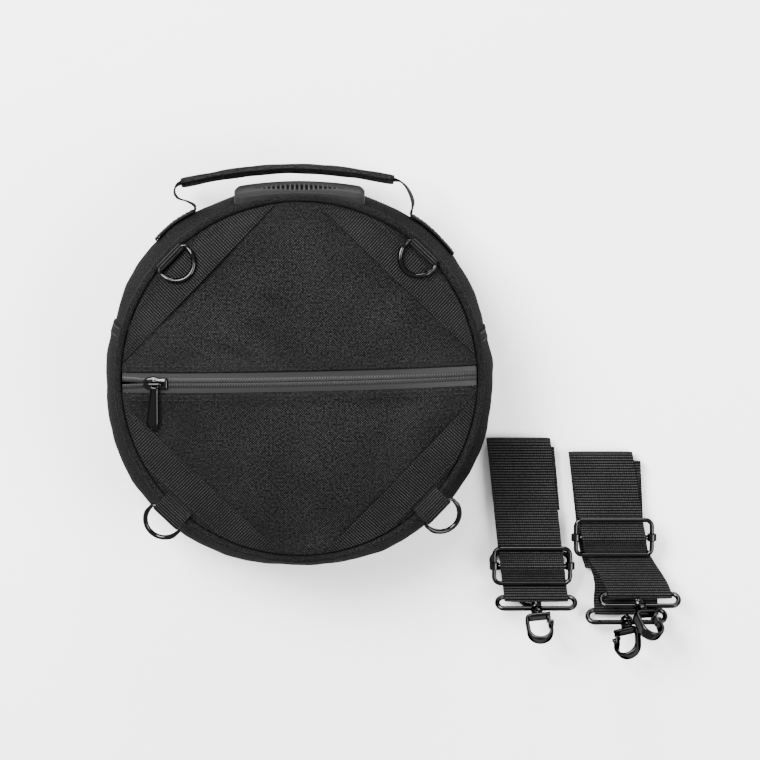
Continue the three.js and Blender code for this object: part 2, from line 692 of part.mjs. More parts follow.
function strapWebbing(strap) {
  const { route, lowerFrom } = strapRoute(strap);
  const points = route.map((p, i) => {
    const aside = i < lowerFrom ? 0 : driftB(strap, p.x);
    return new THREE.Vector3(strap.x + drift(strap, p.x) + aside, p.x, p.y);
  });
  const side = new THREE.Vector3(1, 0, 0);
  return ribbon(points, () => side, STRAP_WIDTH, WEBBING);
}

function slideBar() {
  const bar = rod(SLIDE_WIRE_R, -SLIDE_HALF_X, SLIDE_HALF_X, 8).rotateZ(Math.PI / 2);
  const sleeves = [-SLIDE_HALF_X, SLIDE_HALF_X]
    .map((x) => rod(SLEEVE_R, -SLEEVE_LENGTH / 2, SLEEVE_LENGTH / 2).translate(x, 0, 0));
  const bores = [-SLIDE_HALF_X, SLIDE_HALF_X]
    .map((x) => rod(SLIDE_WIRE_R + GAP, -SLEEVE_LENGTH, SLEEVE_LENGTH).translate(x, 0, 0));
  return cut(join(bar, ...sleeves), ...bores);
}

// The boss leans on the outer bar of its eye, and the hook turns in it.
function swivelEye(lean) {
  const outline = roundedLoop(EYE_HALF_X, -EYE_REACH, 0, EYE_REACH / 2 - 0.1, 2);
  const leaning = (shape) => shape.translate(0, EYE_REACH, 0).rotateZ(lean).translate(0, -EYE_REACH, 0);
  const boss = leaning(rod(BOSS_R, BOSS_TO, BOSS_FROM));
  const bore = leaning(rod(SHANK_R + GAP, BOSS_TO - 1, BOSS_FROM + 1));
  return cut(join(wireLoop(outline, EYE_WIRE_R), boss), bore);
}

function hookBody() {
  const side = new THREE.Vector3(0, 0, 1);
  const bend = [
    new THREE.Vector3(HOOK_HALF + HOOK_LUG, HOOK_TOP, 0),
    new THREE.Vector3(0, HOOK_TOP, 0),
    ...arcPoints(HOOK_ROUND - HOOK_HALF, HOOK_TOP - HOOK_ROUND, HOOK_ROUND, 90, 180, 3),
    new THREE.Vector3(-HOOK_HALF, (HOOK_TOP + HOOK_BEND) / 2, 0),
    ...arcPoints(0, HOOK_BEND, HOOK_HALF, 180, 360, 8),
    new THREE.Vector3(HOOK_HALF, HOOK_TIP, 0),
  ];
  return join(
    ribbon(bend, () => side, HOOK_WIDTH, HOOK_BAND),
    rod(BOSS_R, COLLAR_TO, BOSS_TO - GAP),
    rod(SHANK_R, COLLAR_TO, BOSS_FROM + 1),
    rod(RIVET_R, BOSS_FROM + GAP, BOSS_FROM + GAP + RIVET_HEAD));
}

function gateLever() {
  const [x, y] = GATE_PIVOT;
  const half = GATE_WIDTH / 2;
  const knuckle = new THREE.CylinderGeometry(GATE_R, GATE_R, GATE_WIDTH, 10).rotateX(Math.PI / 2);
  const bar = box(x - GATE_THICK / 2, x + GATE_THICK / 2, HOOK_TIP + GAP, y, -half, half);
  const thumb = box(x, x + THUMB_OUT, y + THUMB_Y[0], y + THUMB_Y[1], -half, half);
  return join(knuckle.translate(x, y, 0), bar, thumb);
}

function strapEnd(strap, letter, aside) {
  const end = ENDS[strap.name][letter];
  const seat = new THREE.Group();
  seat.position.set(strap.x + drift(strap, end.y) + aside, end.y, end.z);
  seat.rotation.x = radians(end.tilt);
  root.add(seat);
  const name = `strap_${strap.name}`;
  piece(`${name}_eye_${letter}`, swivelEye(radians(end.lean)), METAL_BLACK, seat);
  const boss = new THREE.Group();
  boss.position.y = -EYE_REACH;
  boss.rotation.z = radians(end.lean);
  seat.add(boss);
  const swivel = new THREE.Group();
  swivel.rotation.y = radians(end.roll);
  boss.add(swivel);
  const hook = hookBody().translate(0, EYE_REACH, 0);
  const gate = gateLever().translate(0, EYE_REACH, 0);
  piece(`${name}_hook_${letter}`, hook, METAL_BLACK, swivel);
  piece(`${name}_gate_${letter}`, gate, METAL_BLACK, swivel);
}

function buildStrap(strap) {
  const name = `strap_${strap.name}`;
  piece(`${name}_webbing`, strapWebbing(strap), WEBBING_BLACK);
  const outline = roundedLoop(SLIDE_HALF_X, -SLIDE_HALF_Y, SLIDE_HALF_Y, SLIDE_CORNER);
  const frame = wireLoop(outline, SLIDE_WIRE_R);
  const slide = new THREE.Group();
  slide.position.set(strap.x + drift(strap, strap.slide), strap.slide, SLIDE_Z);
  root.add(slide);
  piece(`${name}_slide_frame`, frame, METAL_BLACK, slide);
  piece(`${name}_slide_bar`, slideBar(), METAL_BLACK, slide);
  strapEnd(strap, 'a', 0);
  strapEnd(strap, 'b', driftB(strap, ENDS[strap.name].b.y));
}

buildBody();
buildFront();
buildZipSlider();
buildRings();
buildTopGrip();
buildHandle();
for (const strap of STRAPS) buildStrap(strap);

export default root;
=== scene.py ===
"""Looks of a round chest bag and its two detachable straps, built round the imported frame.

Shapes are worked out in millimetres and become metres when a piece is made.
"""

import json
import math

import bmesh
import bpy
import numpy as np
from bpy.props import FloatProperty, FloatVectorProperty, PointerProperty
from mathutils import Matrix, Vector

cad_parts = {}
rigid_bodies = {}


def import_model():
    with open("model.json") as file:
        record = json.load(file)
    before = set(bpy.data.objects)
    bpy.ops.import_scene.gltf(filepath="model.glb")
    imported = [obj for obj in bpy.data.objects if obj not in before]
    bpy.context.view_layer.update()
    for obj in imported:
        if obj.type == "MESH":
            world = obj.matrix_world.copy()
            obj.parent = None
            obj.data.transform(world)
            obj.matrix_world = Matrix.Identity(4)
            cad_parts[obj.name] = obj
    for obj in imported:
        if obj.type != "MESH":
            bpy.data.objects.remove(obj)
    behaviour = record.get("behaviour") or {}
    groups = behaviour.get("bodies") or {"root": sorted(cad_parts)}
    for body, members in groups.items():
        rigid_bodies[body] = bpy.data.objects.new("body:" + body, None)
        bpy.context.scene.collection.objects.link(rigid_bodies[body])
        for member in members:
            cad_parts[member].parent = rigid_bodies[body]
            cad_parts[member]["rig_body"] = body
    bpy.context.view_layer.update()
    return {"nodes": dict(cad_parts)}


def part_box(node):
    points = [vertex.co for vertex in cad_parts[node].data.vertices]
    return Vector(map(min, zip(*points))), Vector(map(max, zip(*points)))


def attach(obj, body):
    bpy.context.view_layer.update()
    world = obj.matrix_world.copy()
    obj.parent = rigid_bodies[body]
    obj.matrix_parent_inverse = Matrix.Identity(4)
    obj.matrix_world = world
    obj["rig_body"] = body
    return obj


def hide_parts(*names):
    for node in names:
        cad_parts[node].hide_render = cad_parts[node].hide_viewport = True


bl_info = {
    "name": "Chest Bag Looks",
    "version": (1, 0, 0),
    "blender": (4, 5, 0),
    "location": "3D View > Sidebar > Chest Bag",
    "description": "Builds the cloth, webbing, zips and metal of a round chest bag",
    "category": "Object",
}

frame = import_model()
MM = 0.001


def node_range(node, axis):
    """Lowest and highest place of a frame node along one axis, in millimetres."""
    low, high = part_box(node)
    return low[axis] / MM, high[axis] / MM


def node_middle(node, axis):
    return sum(node_range(node, axis)) / 2


# Sizes in millimetres, where the main ones of the bag come from the frame
X, Z = 0, 2
UP = (0.0, 0.0, 1.0)
GAP = 0.3
SEAM_Z = node_middle("front_rim", Z)
BACK_SEAM_Z = node_middle("back_rim", Z)
PANEL_R = node_range("back_panel", X)[1]
PIPING_R = 3.0
RIM_R = node_range("front_rim", X)[1] - PIPING_R
DOME_RISE = node_range("front_panel_upper", Z)[1] - SEAM_Z
DOME_POWER = 2.4
CLOTH = 2.2
WEBBING = 1.6
FRONT_TURN = math.radians(1.2)
WALL_BOTTOM, WALL_TOP = node_range("gusset_lower", Z)
WALL_EDGE_R = 140.6
WALL = 2.4
LOWER_BULGE = 9.2
UPPER_BULGE = 4.9
SEAM_DRAW = 3.6
SEAM_DRAW_REACH = 30
SEAM_GAP = 0.15
SEAM_TAPE = 10
SEAM_TAPE_RISE = 0.6
HEM_DROP = 0.9
HEM_REACH = 1.6
# How far the wall stands out at its diagonals, on the right and on the left
SWELL_UPPER = (4.2, 5.4)
SWELL_LOWER = (4.0, 5.0)
# Angles that the thinner upper wall runs between, in degrees
UPPER_FROM, UPPER_TO = 14.6, 163.9
MAIN_ZIP_BOTTOM, MAIN_ZIP_TOP = node_range("main_zip", Z)
ZIP_HALF = 7.5
ZIP_SUNK = 0.5
ZIP_TAPE = 1.2
COIL_HALF = 3.4
ZIP_TOOTH = 2.0
ZIP_OPEN_TO = -117
ZIP_MOUTH = 8.4
BAND_INNER = 106.5
BAND_WIDTH = 25
BAND_RIB_DEPTH = 0.28
BAND_STITCH_INSET = 2.6
CORNERS = {"top_right": 45, "top_left": 135, "bottom_left": 225, "bottom_right": 315}
# Bars of the rings: distance from the middle of the bag, height, and tilt in degrees
UPPER_BAR = (136.5, SEAM_Z + 6.2, 8)
LOWER_BAR = (146.5, SEAM_Z + 2.6, 25)
RING_WIRE_R = 1.5
RING_HALF = 14.6
RING_REACH = 20
RING_STOUT = 0.45
TAB_LAYER = 1.4
TAB_WIDTH = 24.6
TAB_STEP = 0.32
SLIDER_X = -110
SLIDER_TOP = 2.4
BAIL_TOP = SLIDER_TOP + 4.3
BAIL_HALF = 5.75
LENS_Z = 74.3
LENS_HALF = 8.3
LENS_LENGTH = 37.0
LENS_DEPTH = 2.2
RIB_RISE = 1.4
RIB_PITCH = 3.6
RIB_HALF = 0.8
GRIP_LOW, GRIP_HIGH = node_range("top_grip", Z)
GRIP_HALF = 50.0
HANDLE_Z = 45.5
HANDLE_LEAN = math.radians(13)
HANDLE_STEP = 0.3
SLEEVE_SEAM = 0.8
# Where each folded strap lies, how it slants and how far its layers are out of line
STRAPS = {
    "left": {
        "x": 171.5, "slant": 0.11, "skew": 0.5, "skew_from": -150,
        "top": -62, "foot": -112, "slide": -156, "apart": 0, "untidy": (2.4, 1.6)},
    "right": {
        "x": 236, "slant": 0.16, "skew": 13.2, "skew_from": -140,
        "top": -73, "foot": -158, "slide": -133.5, "apart": 12, "untidy": (5.5, -4.0)},
}
# Eyes of the strap ends: Y, Z, tilt, lean of the hook and its roll, angles in degrees
ENDS = {
    "left": {"a": (-181, 14.6, -45, 7, 0), "b": (-148, 4.9, 0, 0, 0)},
    "right": {"a": (-178, 18.6, -42, 21, 25), "b": (-193, 4.9, -40, 0, 155)},
}
STRAP_WIDTH = 50
STRAP_PITCH = 2.1
STRAP_STEP = 0.42
STRAP_RIB_DEPTH = 0.42
SLIDE_WIRE_R = 1.8
SLIDE_HALF_X, SLIDE_HALF_Y = 29.7, 13.7
EYE_WIRE_R = 2.0
EYE_REACH = 11
EYE_HALF = 30.4
EYE_CORNER = 5.4


# Small geometry tools

def unit(vectors):
    """Vectors of length 1 in the same directions."""
    return vectors / np.linalg.norm(vectors, axis=-1, keepdims=True)


def repeated(direction, path):
    """The same direction for each point of a path."""
    return np.tile(direction, (len(path), 1))


def circle(count):
    """Angles of a full turn, in radians."""
    return np.linspace(0, math.tau, count, endpoint=False)


def eased(count):
    """Places from -1 to 1 that lie closer together at both ends."""
    return np.sin(np.linspace(-1, 1, count) * math.pi / 2)


def ribs(at, pitch):
    """1 on the crown of each rib and 0 between them."""
    return 0.5 - 0.5 * np.cos(math.tau * at / pitch)


def polar(radius, theta, z):
    """Points by their distance from the middle of the bag, their angle and their height."""
    return np.stack(np.broadcast_arrays(radius * np.cos(theta), radius * np.sin(theta), z), axis=-1)


def at_height(flat, z=0.0):
    """Points of a plan, all put at one height."""
    return np.concatenate([flat, np.full((len(flat), 1), z)], axis=1)


def smoothstep(value, low, high):
    """A soft step from 0 at low to 1 at high."""
    t = np.clip((value - low) / (high - low), 0, 1)
    return t * t * (3 - 2 * t)


def arc(cx, cy, radius, start, end, steps):
    """Points on an arc, angles in degrees."""
    angle = np.radians(np.linspace(start, end, steps + 1))
    return np.stack([cx + radius * np.cos(angle), cy + radius * np.sin(angle)], axis=1)


def run_length(path):
    """Distance along a path at each of its points."""
    steps = np.linalg.norm(np.diff(path, axis=0), axis=1)
    return np.concatenate([[0], np.cumsum(steps)])


def loop_length(loop):
    """Distance round a closed loop at each of its points, and back at the first."""
    return run_length(np.concatenate([loop, loop[:1]]))


def interpolate(want, at, path):
    """Points of a path at wanted distances, where at holds the distances of its own points."""
    return np.stack([np.interp(want, at, column) for column in path.T], axis=1)


def resample(path, step):
    """Points along a path at even distances close to step."""
    at = run_length(path)
    want = np.linspace(0, at[-1], max(2, int(round(at[-1] / step)) + 1))
    return interpolate(want, at, path)


def resample_loop(loop, step):
    """Points round a closed loop at even distances close to step."""
    return resample(np.concatenate([loop, loop[:1]]), step)[:-1]


def relax(path, rounds):
    """Softens the corners of an open path, ends kept."""
    for _ in range(rounds):
        path = np.concatenate([path[:1], (path[:-2] + 2 * path[1:-1] + path[2:]) / 4, path[-1:]])
    return path


def spline(points, steps):
    """Centripetal curve through points, the same kind as the CAD's own."""
    points = np.asarray(points, dtype=float)
    ends = [2 * points[0] - points[1]], [2 * points[-1] - points[-2]]
    p = np.concatenate([ends[0], points, ends[1]])
    out = []
    for k in range(1, len(p) - 2):
        knots = [0.0]
        for i in range(k - 1, k + 2):
            knots.append(knots[-1] + math.sqrt(np.linalg.norm(p[i + 1] - p[i])))
        t0, t1, t2, t3 = knots
        t = np.linspace(t1, t2, steps, endpoint=False)[:, None]
        a1 = (t1 - t) / (t1 - t0) * p[k - 1] + (t - t0) / (t1 - t0) * p[k]
        a2 = (t2 - t) / (t2 - t1) * p[k] + (t - t1) / (t2 - t1) * p[k + 1]
        a3 = (t3 - t) / (t3 - t2) * p[k + 1] + (t - t2) / (t3 - t2) * p[k + 2]
        b1 = (t2 - t) / (t2 - t0) * a1 + (t - t0) / (t2 - t0) * a2
        b2 = (t3 - t) / (t3 - t1) * a2 + (t - t1) / (t3 - t1) * a3
        out.append((t2 - t) / (t2 - t1) * b1 + (t - t1) / (t2 - t1) * b2)
    return np.concatenate(out + [points[-1:]])


def tube(rows, closed=False):
    """One shell through rows of points, each row closed on itself.

    Gives points, quads and UVs in millimetres. Open ends are closed with quads that pair
    the first half of the row with the second.
    """
    count, sides = rows.shape[:2]
    spans = count if closed else count - 1
    along = loop_length(rows.mean(axis=1))
    around = loop_length(rows[count // 2])
    i, j = np.meshgrid(np.arange(spans), np.arange(sides), indexing="ij")
    row = np.stack([i, i, i + 1, i + 1], axis=-1).reshape(-1, 4)
    column = np.stack([j, j + 1, j + 1, j], axis=-1).reshape(-1, 4)
    quads = (row % count) * sides + column % sides
    uv = np.stack([along[row], around[column]], axis=-1)
    if not closed:
        a = np.arange(sides // 2 - 1)
        cap = np.stack([a, a + 1, sides - 2 - a, sides - 1 - a], axis=-1)
        for start in (0, (count - 1) * sides):
            quads = np.concatenate([quads, cap + start])
            uv = np.concatenate([uv, np.zeros((len(cap), 4, 2))])
    return rows.reshape(-1, 3), quads, uv


def slab(top, bottom):
    """A sheet with a top and an underside, each a grid of points."""
    return tube(np.concatenate([top, bottom[:, ::-1]], axis=1))


def plan_uv(shell):
    """The same shell with UVs seen from above, so that the weave runs straight."""
    points, quads, _ = shell
    return points, quads, points[quads][:, :, :2]


def wire(path, radius, up, closed=False, sides=14):
    """Round wire along a path. up is any direction that is never along it."""
    if closed:
        along = unit(np.roll(path, -1, axis=0) - np.roll(path, 1, axis=0))
    else:
        along = unit(np.gradient(path, axis=0))
    side = unit(np.cross(along, np.asarray(up, dtype=float)))
    top = np.cross(side, along)
    a = circle(sides)[None, :, None]
    reach = np.asarray(radius, dtype=float).reshape(-1, 1, 1)
    rows = path[:, None] + reach * (np.cos(a) * side[:, None] + np.sin(a) * top[:, None])
    return tube(rows, closed)


def sweep(path, side, profile):
    """A strip along a path. profile is a loop of (across, through), the same or one a row."""
    along = unit(np.gradient(path, axis=0))
    up = unit(np.cross(along, side))
    profile = np.broadcast_to(profile, (len(path),) + profile.shape[-2:])
    rows = path[:, None] + side[:, None] * profile[:, :, :1] + up[:, None] * profile[:, :, 1:]
    return tube(rows)


def squircle(half_across, half_through, power, steps):
    """A rounded rectangle as a loop that starts on its right."""
    a = (np.arange(steps) + 0.5) * math.tau / steps
    c, s = np.cos(a), np.sin(a)
    reach = (np.abs(c) ** power + np.abs(s) ** power) ** (-1 / power)
    return np.stack([half_across * reach * c, half_through * reach * s], axis=1)


def lathe(profile, sides):
    """A turned shape about the Y axis from (radius, y) pairs."""
    profile = np.asarray(profile, dtype=float)
    a = (np.arange(sides) + 0.5) * math.tau / sides
    rows = np.zeros((len(profile), sides, 3))
    rows[:, :, 0] = profile[:, :1] * np.cos(a)
    rows[:, :, 1] = profile[:, 1:]
    rows[:, :, 2] = profile[:, :1] * np.sin(a)
    return tube(rows)


def bored(loop, sides):
    """A turned ring about the Y axis from a closed loop of (radius, y) pairs."""
    loop = np.asarray(loop, dtype=float)
    a = circle(sides)[:, None]
    rows = np.stack([loop[:, 0] * np.cos(a), loop[:, 1] + 0 * a, loop[:, 0] * np.sin(a)], axis=-1)
    return tube(rows, closed=True)


def plate(half, levels):
    """A plate from half of its outline, (along, half width), and (height, inset) levels."""
    half = np.asarray(half, dtype=float)
    centre = (half[0, 0] + half[-1, 0]) / 2
    reach = abs(half[0, 0] - half[-1, 0]) / 2
    rows = []
    for height, inset in levels:
        x = centre + (half[:, 0] - centre) * (reach - inset) / reach
        w = np.maximum(half[:, 1] - inset, 0.02)
        upper = np.stack([x, w, np.full_like(x, height)], axis=1)
        lower = np.stack([x, -w, np.full_like(x, height)], axis=1)
        rows.append(np.concatenate([upper, lower[::-1]]))
    return tube(np.array(rows))


def moved(shell, matrix):
    """A shell put in its place by a matrix in millimetres."""
    points, quads, uv = shell
    m = np.array(matrix)
    return points @ m[:3, :3].T + m[:3, 3], quads, uv


def turn_z(points, angle):
    """Points turned about the Z axis."""
    c, s = math.cos(angle), math.sin(angle)
    out = points.copy()
    out[..., 0] = c * points[..., 0] - s * points[..., 1]
    out[..., 1] = s * points[..., 0] + c * points[..., 1]
    return out


def webbing(path, side, width, thick, pitch, depth, columns=9):
    """Woven webbing: ribs across it, thinner selvedges along it."""
    rib = depth * ribs(run_length(path), pitch)
    across = eased(columns)
    edge = np.sqrt(1 - 0.8 * np.abs(across) ** 8)
    height = (thick / 2 - depth + rib)[:, None] * edge[None, :]
    wide = np.broadcast_to(across * width / 2, height.shape)
    upper = np.stack([wide, height], axis=-1)
    lower = np.stack([wide, -height], axis=-1)
    return sweep(path, side, np.concatenate([upper, lower[:, ::-1]], axis=1))


# One stitch: places along it, its rise and its girth there in radii of the thread
STITCH_AT = np.array([0, 0.12, 0.5, 0.88, 1])
STITCH_RISE = np.array([-1.2, 0.1, 0.5, 0.1, -1.2])
STITCH_GIRTH = np.array([0.5, 1, 1.05, 1, 0.5])
STITCH_SINK = 0.1


def stitches(path, up, length=3.2, pause=1.5, radius=0.33):
    """Thread lying in separate stitches along a path on a surface with normals up."""
    at = run_length(path)
    shells = []
    for start in np.arange(pause, at[-1] - length, length + pause):
        want = start + length * STITCH_AT
        lift = interpolate(want, at, up)
        line = interpolate(want, at, path) + lift * (STITCH_RISE * radius - STITCH_SINK)[:, None]
        shells.append(wire(line, radius * STITCH_GIRTH, lift.mean(axis=0), sides=6))
    return shells


# Making pieces

def body_of(node):
    return frame["nodes"][node]["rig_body"]


def add_object(name, data):
    """A new object in the scene's own collection."""
    item = bpy.data.objects.new(name, data)
    bpy.context.scene.collection.objects.link(item)
    return item


def make_piece(name, shells, finish, node, replaces=(), sharp=38):
    """Joins shells in one object with a finish, riding on the body of a frame node."""
    points, quads, uvs, base = [], [], [], 0
    for shell_points, shell_quads, shell_uv in shells:
        points.append(shell_points)
        quads.append(shell_quads + base)
        uvs.append(shell_uv)
        base += len(shell_points)
    mesh = bpy.data.meshes.new(name)
    mesh.from_pydata((np.concatenate(points) * MM).tolist(), [], np.concatenate(quads).tolist())
    layer = mesh.uv_layers.new(name="size")
    layer.data.foreach_set("uv", np.concatenate(uvs).reshape(-1).astype(np.float32))
    work = bmesh.new()
    work.from_mesh(mesh)
    bmesh.ops.recalc_face_normals(work, faces=work.faces)
    work.to_mesh(mesh)
    work.free()
    mesh.shade_smooth()
    mesh.set_sharp_from_angle(angle=math.radians(sharp))
    mesh.materials.append(finish)
    piece = add_object(name, mesh)
    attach(piece, body_of(node))
    if replaces:
        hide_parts(*replaces)
    return piece


# Settings

class ChestBagSettings(bpy.types.PropertyGroup):
    """Sizes and colours that the looks are built from."""

    weave: FloatProperty(
        name="Weave", description="Distance between threads of the cloth",
        default=0.0019, min=0.0003, max=0.004, precision=4, unit="LENGTH")
    strap_rib: FloatProperty(
        name="Strap rib", description="Distance between the ribs of the strap webbing",
        default=0.0021, min=0.001, max=0.006, precision=4, unit="LENGTH")
    band_rib: FloatProperty(
        name="Band rib", description="Distance between the ribs of the narrow webbing",
        default=0.0019, min=0.001, max=0.006, precision=4, unit="LENGTH")
    wrinkle: FloatProperty(
        name="Wrinkle", description="Height of the soft creases in the side wall",
        default=0.0005, min=0.0, max=0.002, precision=4, unit="LENGTH")
    cloth_colour: FloatVectorProperty(
        name="Cloth", description="Colour of the woven cloth",
        default=(0.0003, 0.0003, 0.0003), size=3, min=0.0, max=1.0, subtype="COLOR")
    webbing_colour: FloatVectorProperty(
        name="Webbing", description="Colour of straps, bands and tabs",
        default=(0.00025, 0.00025, 0.00025), size=3, min=0.0, max=1.0, subtype="COLOR")
    zip_colour: FloatVectorProperty(
        name="Zip", description="Colour of the coated zip tape",
        default=(0.0048, 0.0048, 0.0049), size=3, min=0.0, max=1.0, subtype="COLOR")
    grip_colour: FloatVectorProperty(
        name="Grip", description="Colour of the moulded grip",
        default=(0.005, 0.005, 0.005), size=3, min=0.0, max=1.0, subtype="COLOR")
    metal_colour: FloatVectorProperty(
        name="Metal", description="Colour of the black plated metal",
        default=(0.022, 0.022, 0.0225), size=3, min=0.0, max=1.0, subtype="COLOR")
    floor_colour: FloatVectorProperty(
        name="Floor", description="Colour of the studio floor",
        default=(0.97, 0.97, 0.97), size=3, min=0.0, max=1.0, subtype="COLOR")


def settings():
    return bpy.context.scene.chest_bag


# Node groups and finishes

class NodeSheet:
    """Short ways to add and link nodes in one tree."""

    def __init__(self, tree):
        self.tree = tree

    def add(self, kind, inputs=None, **options):
        node = self.tree.nodes.new(kind)
        for key, value in options.items():
            setattr(node, key, value)
        for key, value in (inputs or {}).items():
            if isinstance(value, bpy.types.NodeSocket):
                self.tree.links.new(value, node.inputs[key])
            else:
                node.inputs[key].default_value = value
        return node

    def link(self, source, target):
        self.tree.links.new(source, target)

    def math(self, operation, a, b=0.0, c=0.0):
        return self.add("ShaderNodeMath", {0: a, 1: b, 2: c}, operation=operation).outputs[0]

    def product(self, value, *others):
        for other in others:
            value = self.math("MULTIPLY", value, other)
        return value

    def mix(self, factor, a, b):
        return self.add("ShaderNodeMix", {0: factor, 6: a, 7: b}, data_type="RGBA").outputs[2]

    def brighter(self, value, times):
        """A colour multiplied by a number."""
        result = self.mix(1.0, value, (times, times, times, 1))
        result.node.blend_type = "MULTIPLY"
        return result

    def noise(self, place, scale, detail, roughness=0.5):
        """The outputs of a noise texture."""
        inputs = {"Vector": place, "Scale": scale, "Detail": detail, "Roughness": roughness}
        return self.add("ShaderNodeTexNoise", inputs).outputs

    def span(self, value, low, high, to_low=0.0, to_high=1.0):
        """A value's range mapped on another one and held at its ends."""
        inputs = {"Value": value, "From Min": low, "From Max": high, "To Min": to_low, "To Max": to_high}
        return self.add("ShaderNodeMapRange", inputs).outputs["Result"]


LOOK_OUTPUTS = {"Colour": "NodeSocketColor", "Height": "NodeSocketFloat", "Roughness": "NodeSocketFloat"}
DARK = (0.02, 0.02, 0.02, 1)
THREAD_PITCH = 1.7


def group_tree(name, inputs):
    """A shader node group with its own inputs, and the outputs that each finish uses."""
    tree = bpy.data.node_groups.new(name, "ShaderNodeTree")
    for label, value in inputs.items():
        kind = "NodeSocketColor" if isinstance(value, tuple) else "NodeSocketFloat"
        socket = tree.interface.new_socket(label, in_out="INPUT", socket_type=kind)
        socket.default_value = value
    for label, kind in LOOK_OUTPUTS.items():
        tree.interface.new_socket(label, in_out="OUTPUT", socket_type=kind)
    given = tree.nodes.new("NodeGroupInput")
    result = tree.nodes.new("NodeGroupOutput")
    return NodeSheet(tree), given.outputs, result.inputs


def woven_group():
    """Crossed threads with a painted highlight on their crowns and painted shade in the gaps between them,
    with uneven speckle.
    """
    name = "woven_cloth"
    if name in bpy.data.node_groups:
        return bpy.data.node_groups[name]
    sheet, given, result = group_tree(name, {"Colour": DARK, "Pitch": 1.1, "Contrast": 0.6})
    uv = sheet.add("ShaderNodeUVMap", uv_map="size").outputs["UV"]
    wobble = sheet.noise(uv, 0.09, 2.0)["Color"]
    moved_uv = sheet.add(
        "ShaderNodeVectorMath", {0: wobble, 1: (1.6, 1.6, 0.0), 2: uv}, operation="MULTIPLY_ADD").outputs[0]
    parts = sheet.add("ShaderNodeSeparateXYZ", {0: moved_uv}).outputs
    turns = sheet.math("DIVIDE", math.tau, given["Pitch"])
    warp = sheet.math("SINE", sheet.product(parts["X"], turns))
    weft = sheet.math("SINE", sheet.product(parts["Y"], turns))
    crown = sheet.math("MULTIPLY_ADD", sheet.product(warp, weft), 0.5, 0.5)
    grain = sheet.span(sheet.noise(uv, 0.62, 4.0, 0.75)["Fac"], 0.4, 0.66)
    uneven = sheet.math("MULTIPLY_ADD", grain, 0.88, 0.08)
    # Broad patches of painted light and shade, scattered at random, standing for the soft folds of the cloth
    light_patches = sheet.span(sheet.noise(uv, 0.016, 3.0)["Fac"], 0.3, 0.7, 0.74, 1.22)
    # Painted highlight on the thread crowns and painted shade in the gaps between them, scaled by Contrast
    bright = sheet.product(sheet.math("POWER", crown, 1.8), uneven, given["Contrast"], light_patches)
    lighter = sheet.brighter(given["Colour"], 150.0)
    sheet.link(sheet.mix(bright, given["Colour"], lighter), result["Colour"])
    sheet.link(crown, result["Height"])
    sheet.link(sheet.math("MULTIPLY_ADD", grain, -0.18, 0.92), result["Roughness"])
    return sheet.tree


def ribbed_group():
    """Threads of webbing: fine lines along it, with wear and a painted highlight along the crowns of the ribs
    and painted shade between them.
    """
    name = "ribbed_webbing"
    if name in bpy.data.node_groups:
        return bpy.data.node_groups[name]
    sheet, given, result = group_tree(name, {"Colour": DARK, "Pitch": 2.8, "Wear And Crown Light": 0.6})
    uv = sheet.add("ShaderNodeUVMap", uv_map="size").outputs["UV"]
    parts = sheet.add("ShaderNodeSeparateXYZ", {0: uv}).outputs
    turns = sheet.math("DIVIDE", math.tau, given["Pitch"])
    rib = sheet.math("COSINE", sheet.product(parts["X"], turns))
    rib = sheet.math("MULTIPLY_ADD", rib, -0.5, 0.5)
    thread = sheet.math("SINE", sheet.product(parts["Y"], math.tau / THREAD_PITCH))
    thread = sheet.math("MULTIPLY_ADD", thread, 0.5, 0.5)
    strands = sheet.math("MULTIPLY_ADD", thread, 0.55, 0.3)
    fuzz = sheet.noise(uv, 0.7, 4.0, 0.7)["Fac"]
    flecks = sheet.span(fuzz, 0.36, 0.66, 0.25)
    patch = sheet.math("ADD", sheet.noise(uv, 0.03, 2.0)["Fac"], 0.5)
    # Wear together with painted highlight on the rib crowns, leaving painted shade between the ribs
    worn_and_lit = sheet.product(sheet.math("POWER", rib, 2.0), flecks, strands, given["Wear And Crown Light"], patch)
    lighter = sheet.brighter(given["Colour"], 125.0)
    sheet.link(sheet.mix(worn_and_lit, given["Colour"], lighter), result["Colour"])
    sheet.link(sheet.math("ADD", sheet.product(thread, 0.4), fuzz), result["Height"])
    sheet.link(sheet.math("MULTIPLY_ADD", fuzz, -0.2, 0.85), result["Roughness"])
    return sheet.tree


def handled_group():
    """Marks of use on a hard surface: cloudy gloss, fine scuffs and rubbed edges."""
    name = "handled_surface"
    if name in bpy.data.node_groups:
        return bpy.data.node_groups[name]
    sheet, given, result = group_tree(
        name, {"Colour": DARK, "Rubbed": (0.1, 0.1, 0.1, 1), "Grain": 900.0, "Base Roughness": 0.2})
    place = sheet.add("ShaderNodeTexCoord").outputs["Object"]
    cloud = sheet.noise(place, 160.0, 4.0)["Fac"]
    edge = sheet.add("ShaderNodeNewGeometry").outputs["Pointiness"]
    rubbed = sheet.product(sheet.span(edge, 0.58, 0.75), cloud)
    sheet.link(sheet.mix(rubbed, given["Colour"], given["Rubbed"]), result["Colour"])
    sheet.link(sheet.noise(place, given["Grain"], 3.0)["Fac"], result["Height"])
    sheet.link(sheet.math("MULTIPLY_ADD", cloud, 0.16, given["Base Roughness"]), result["Roughness"])
    return sheet.tree


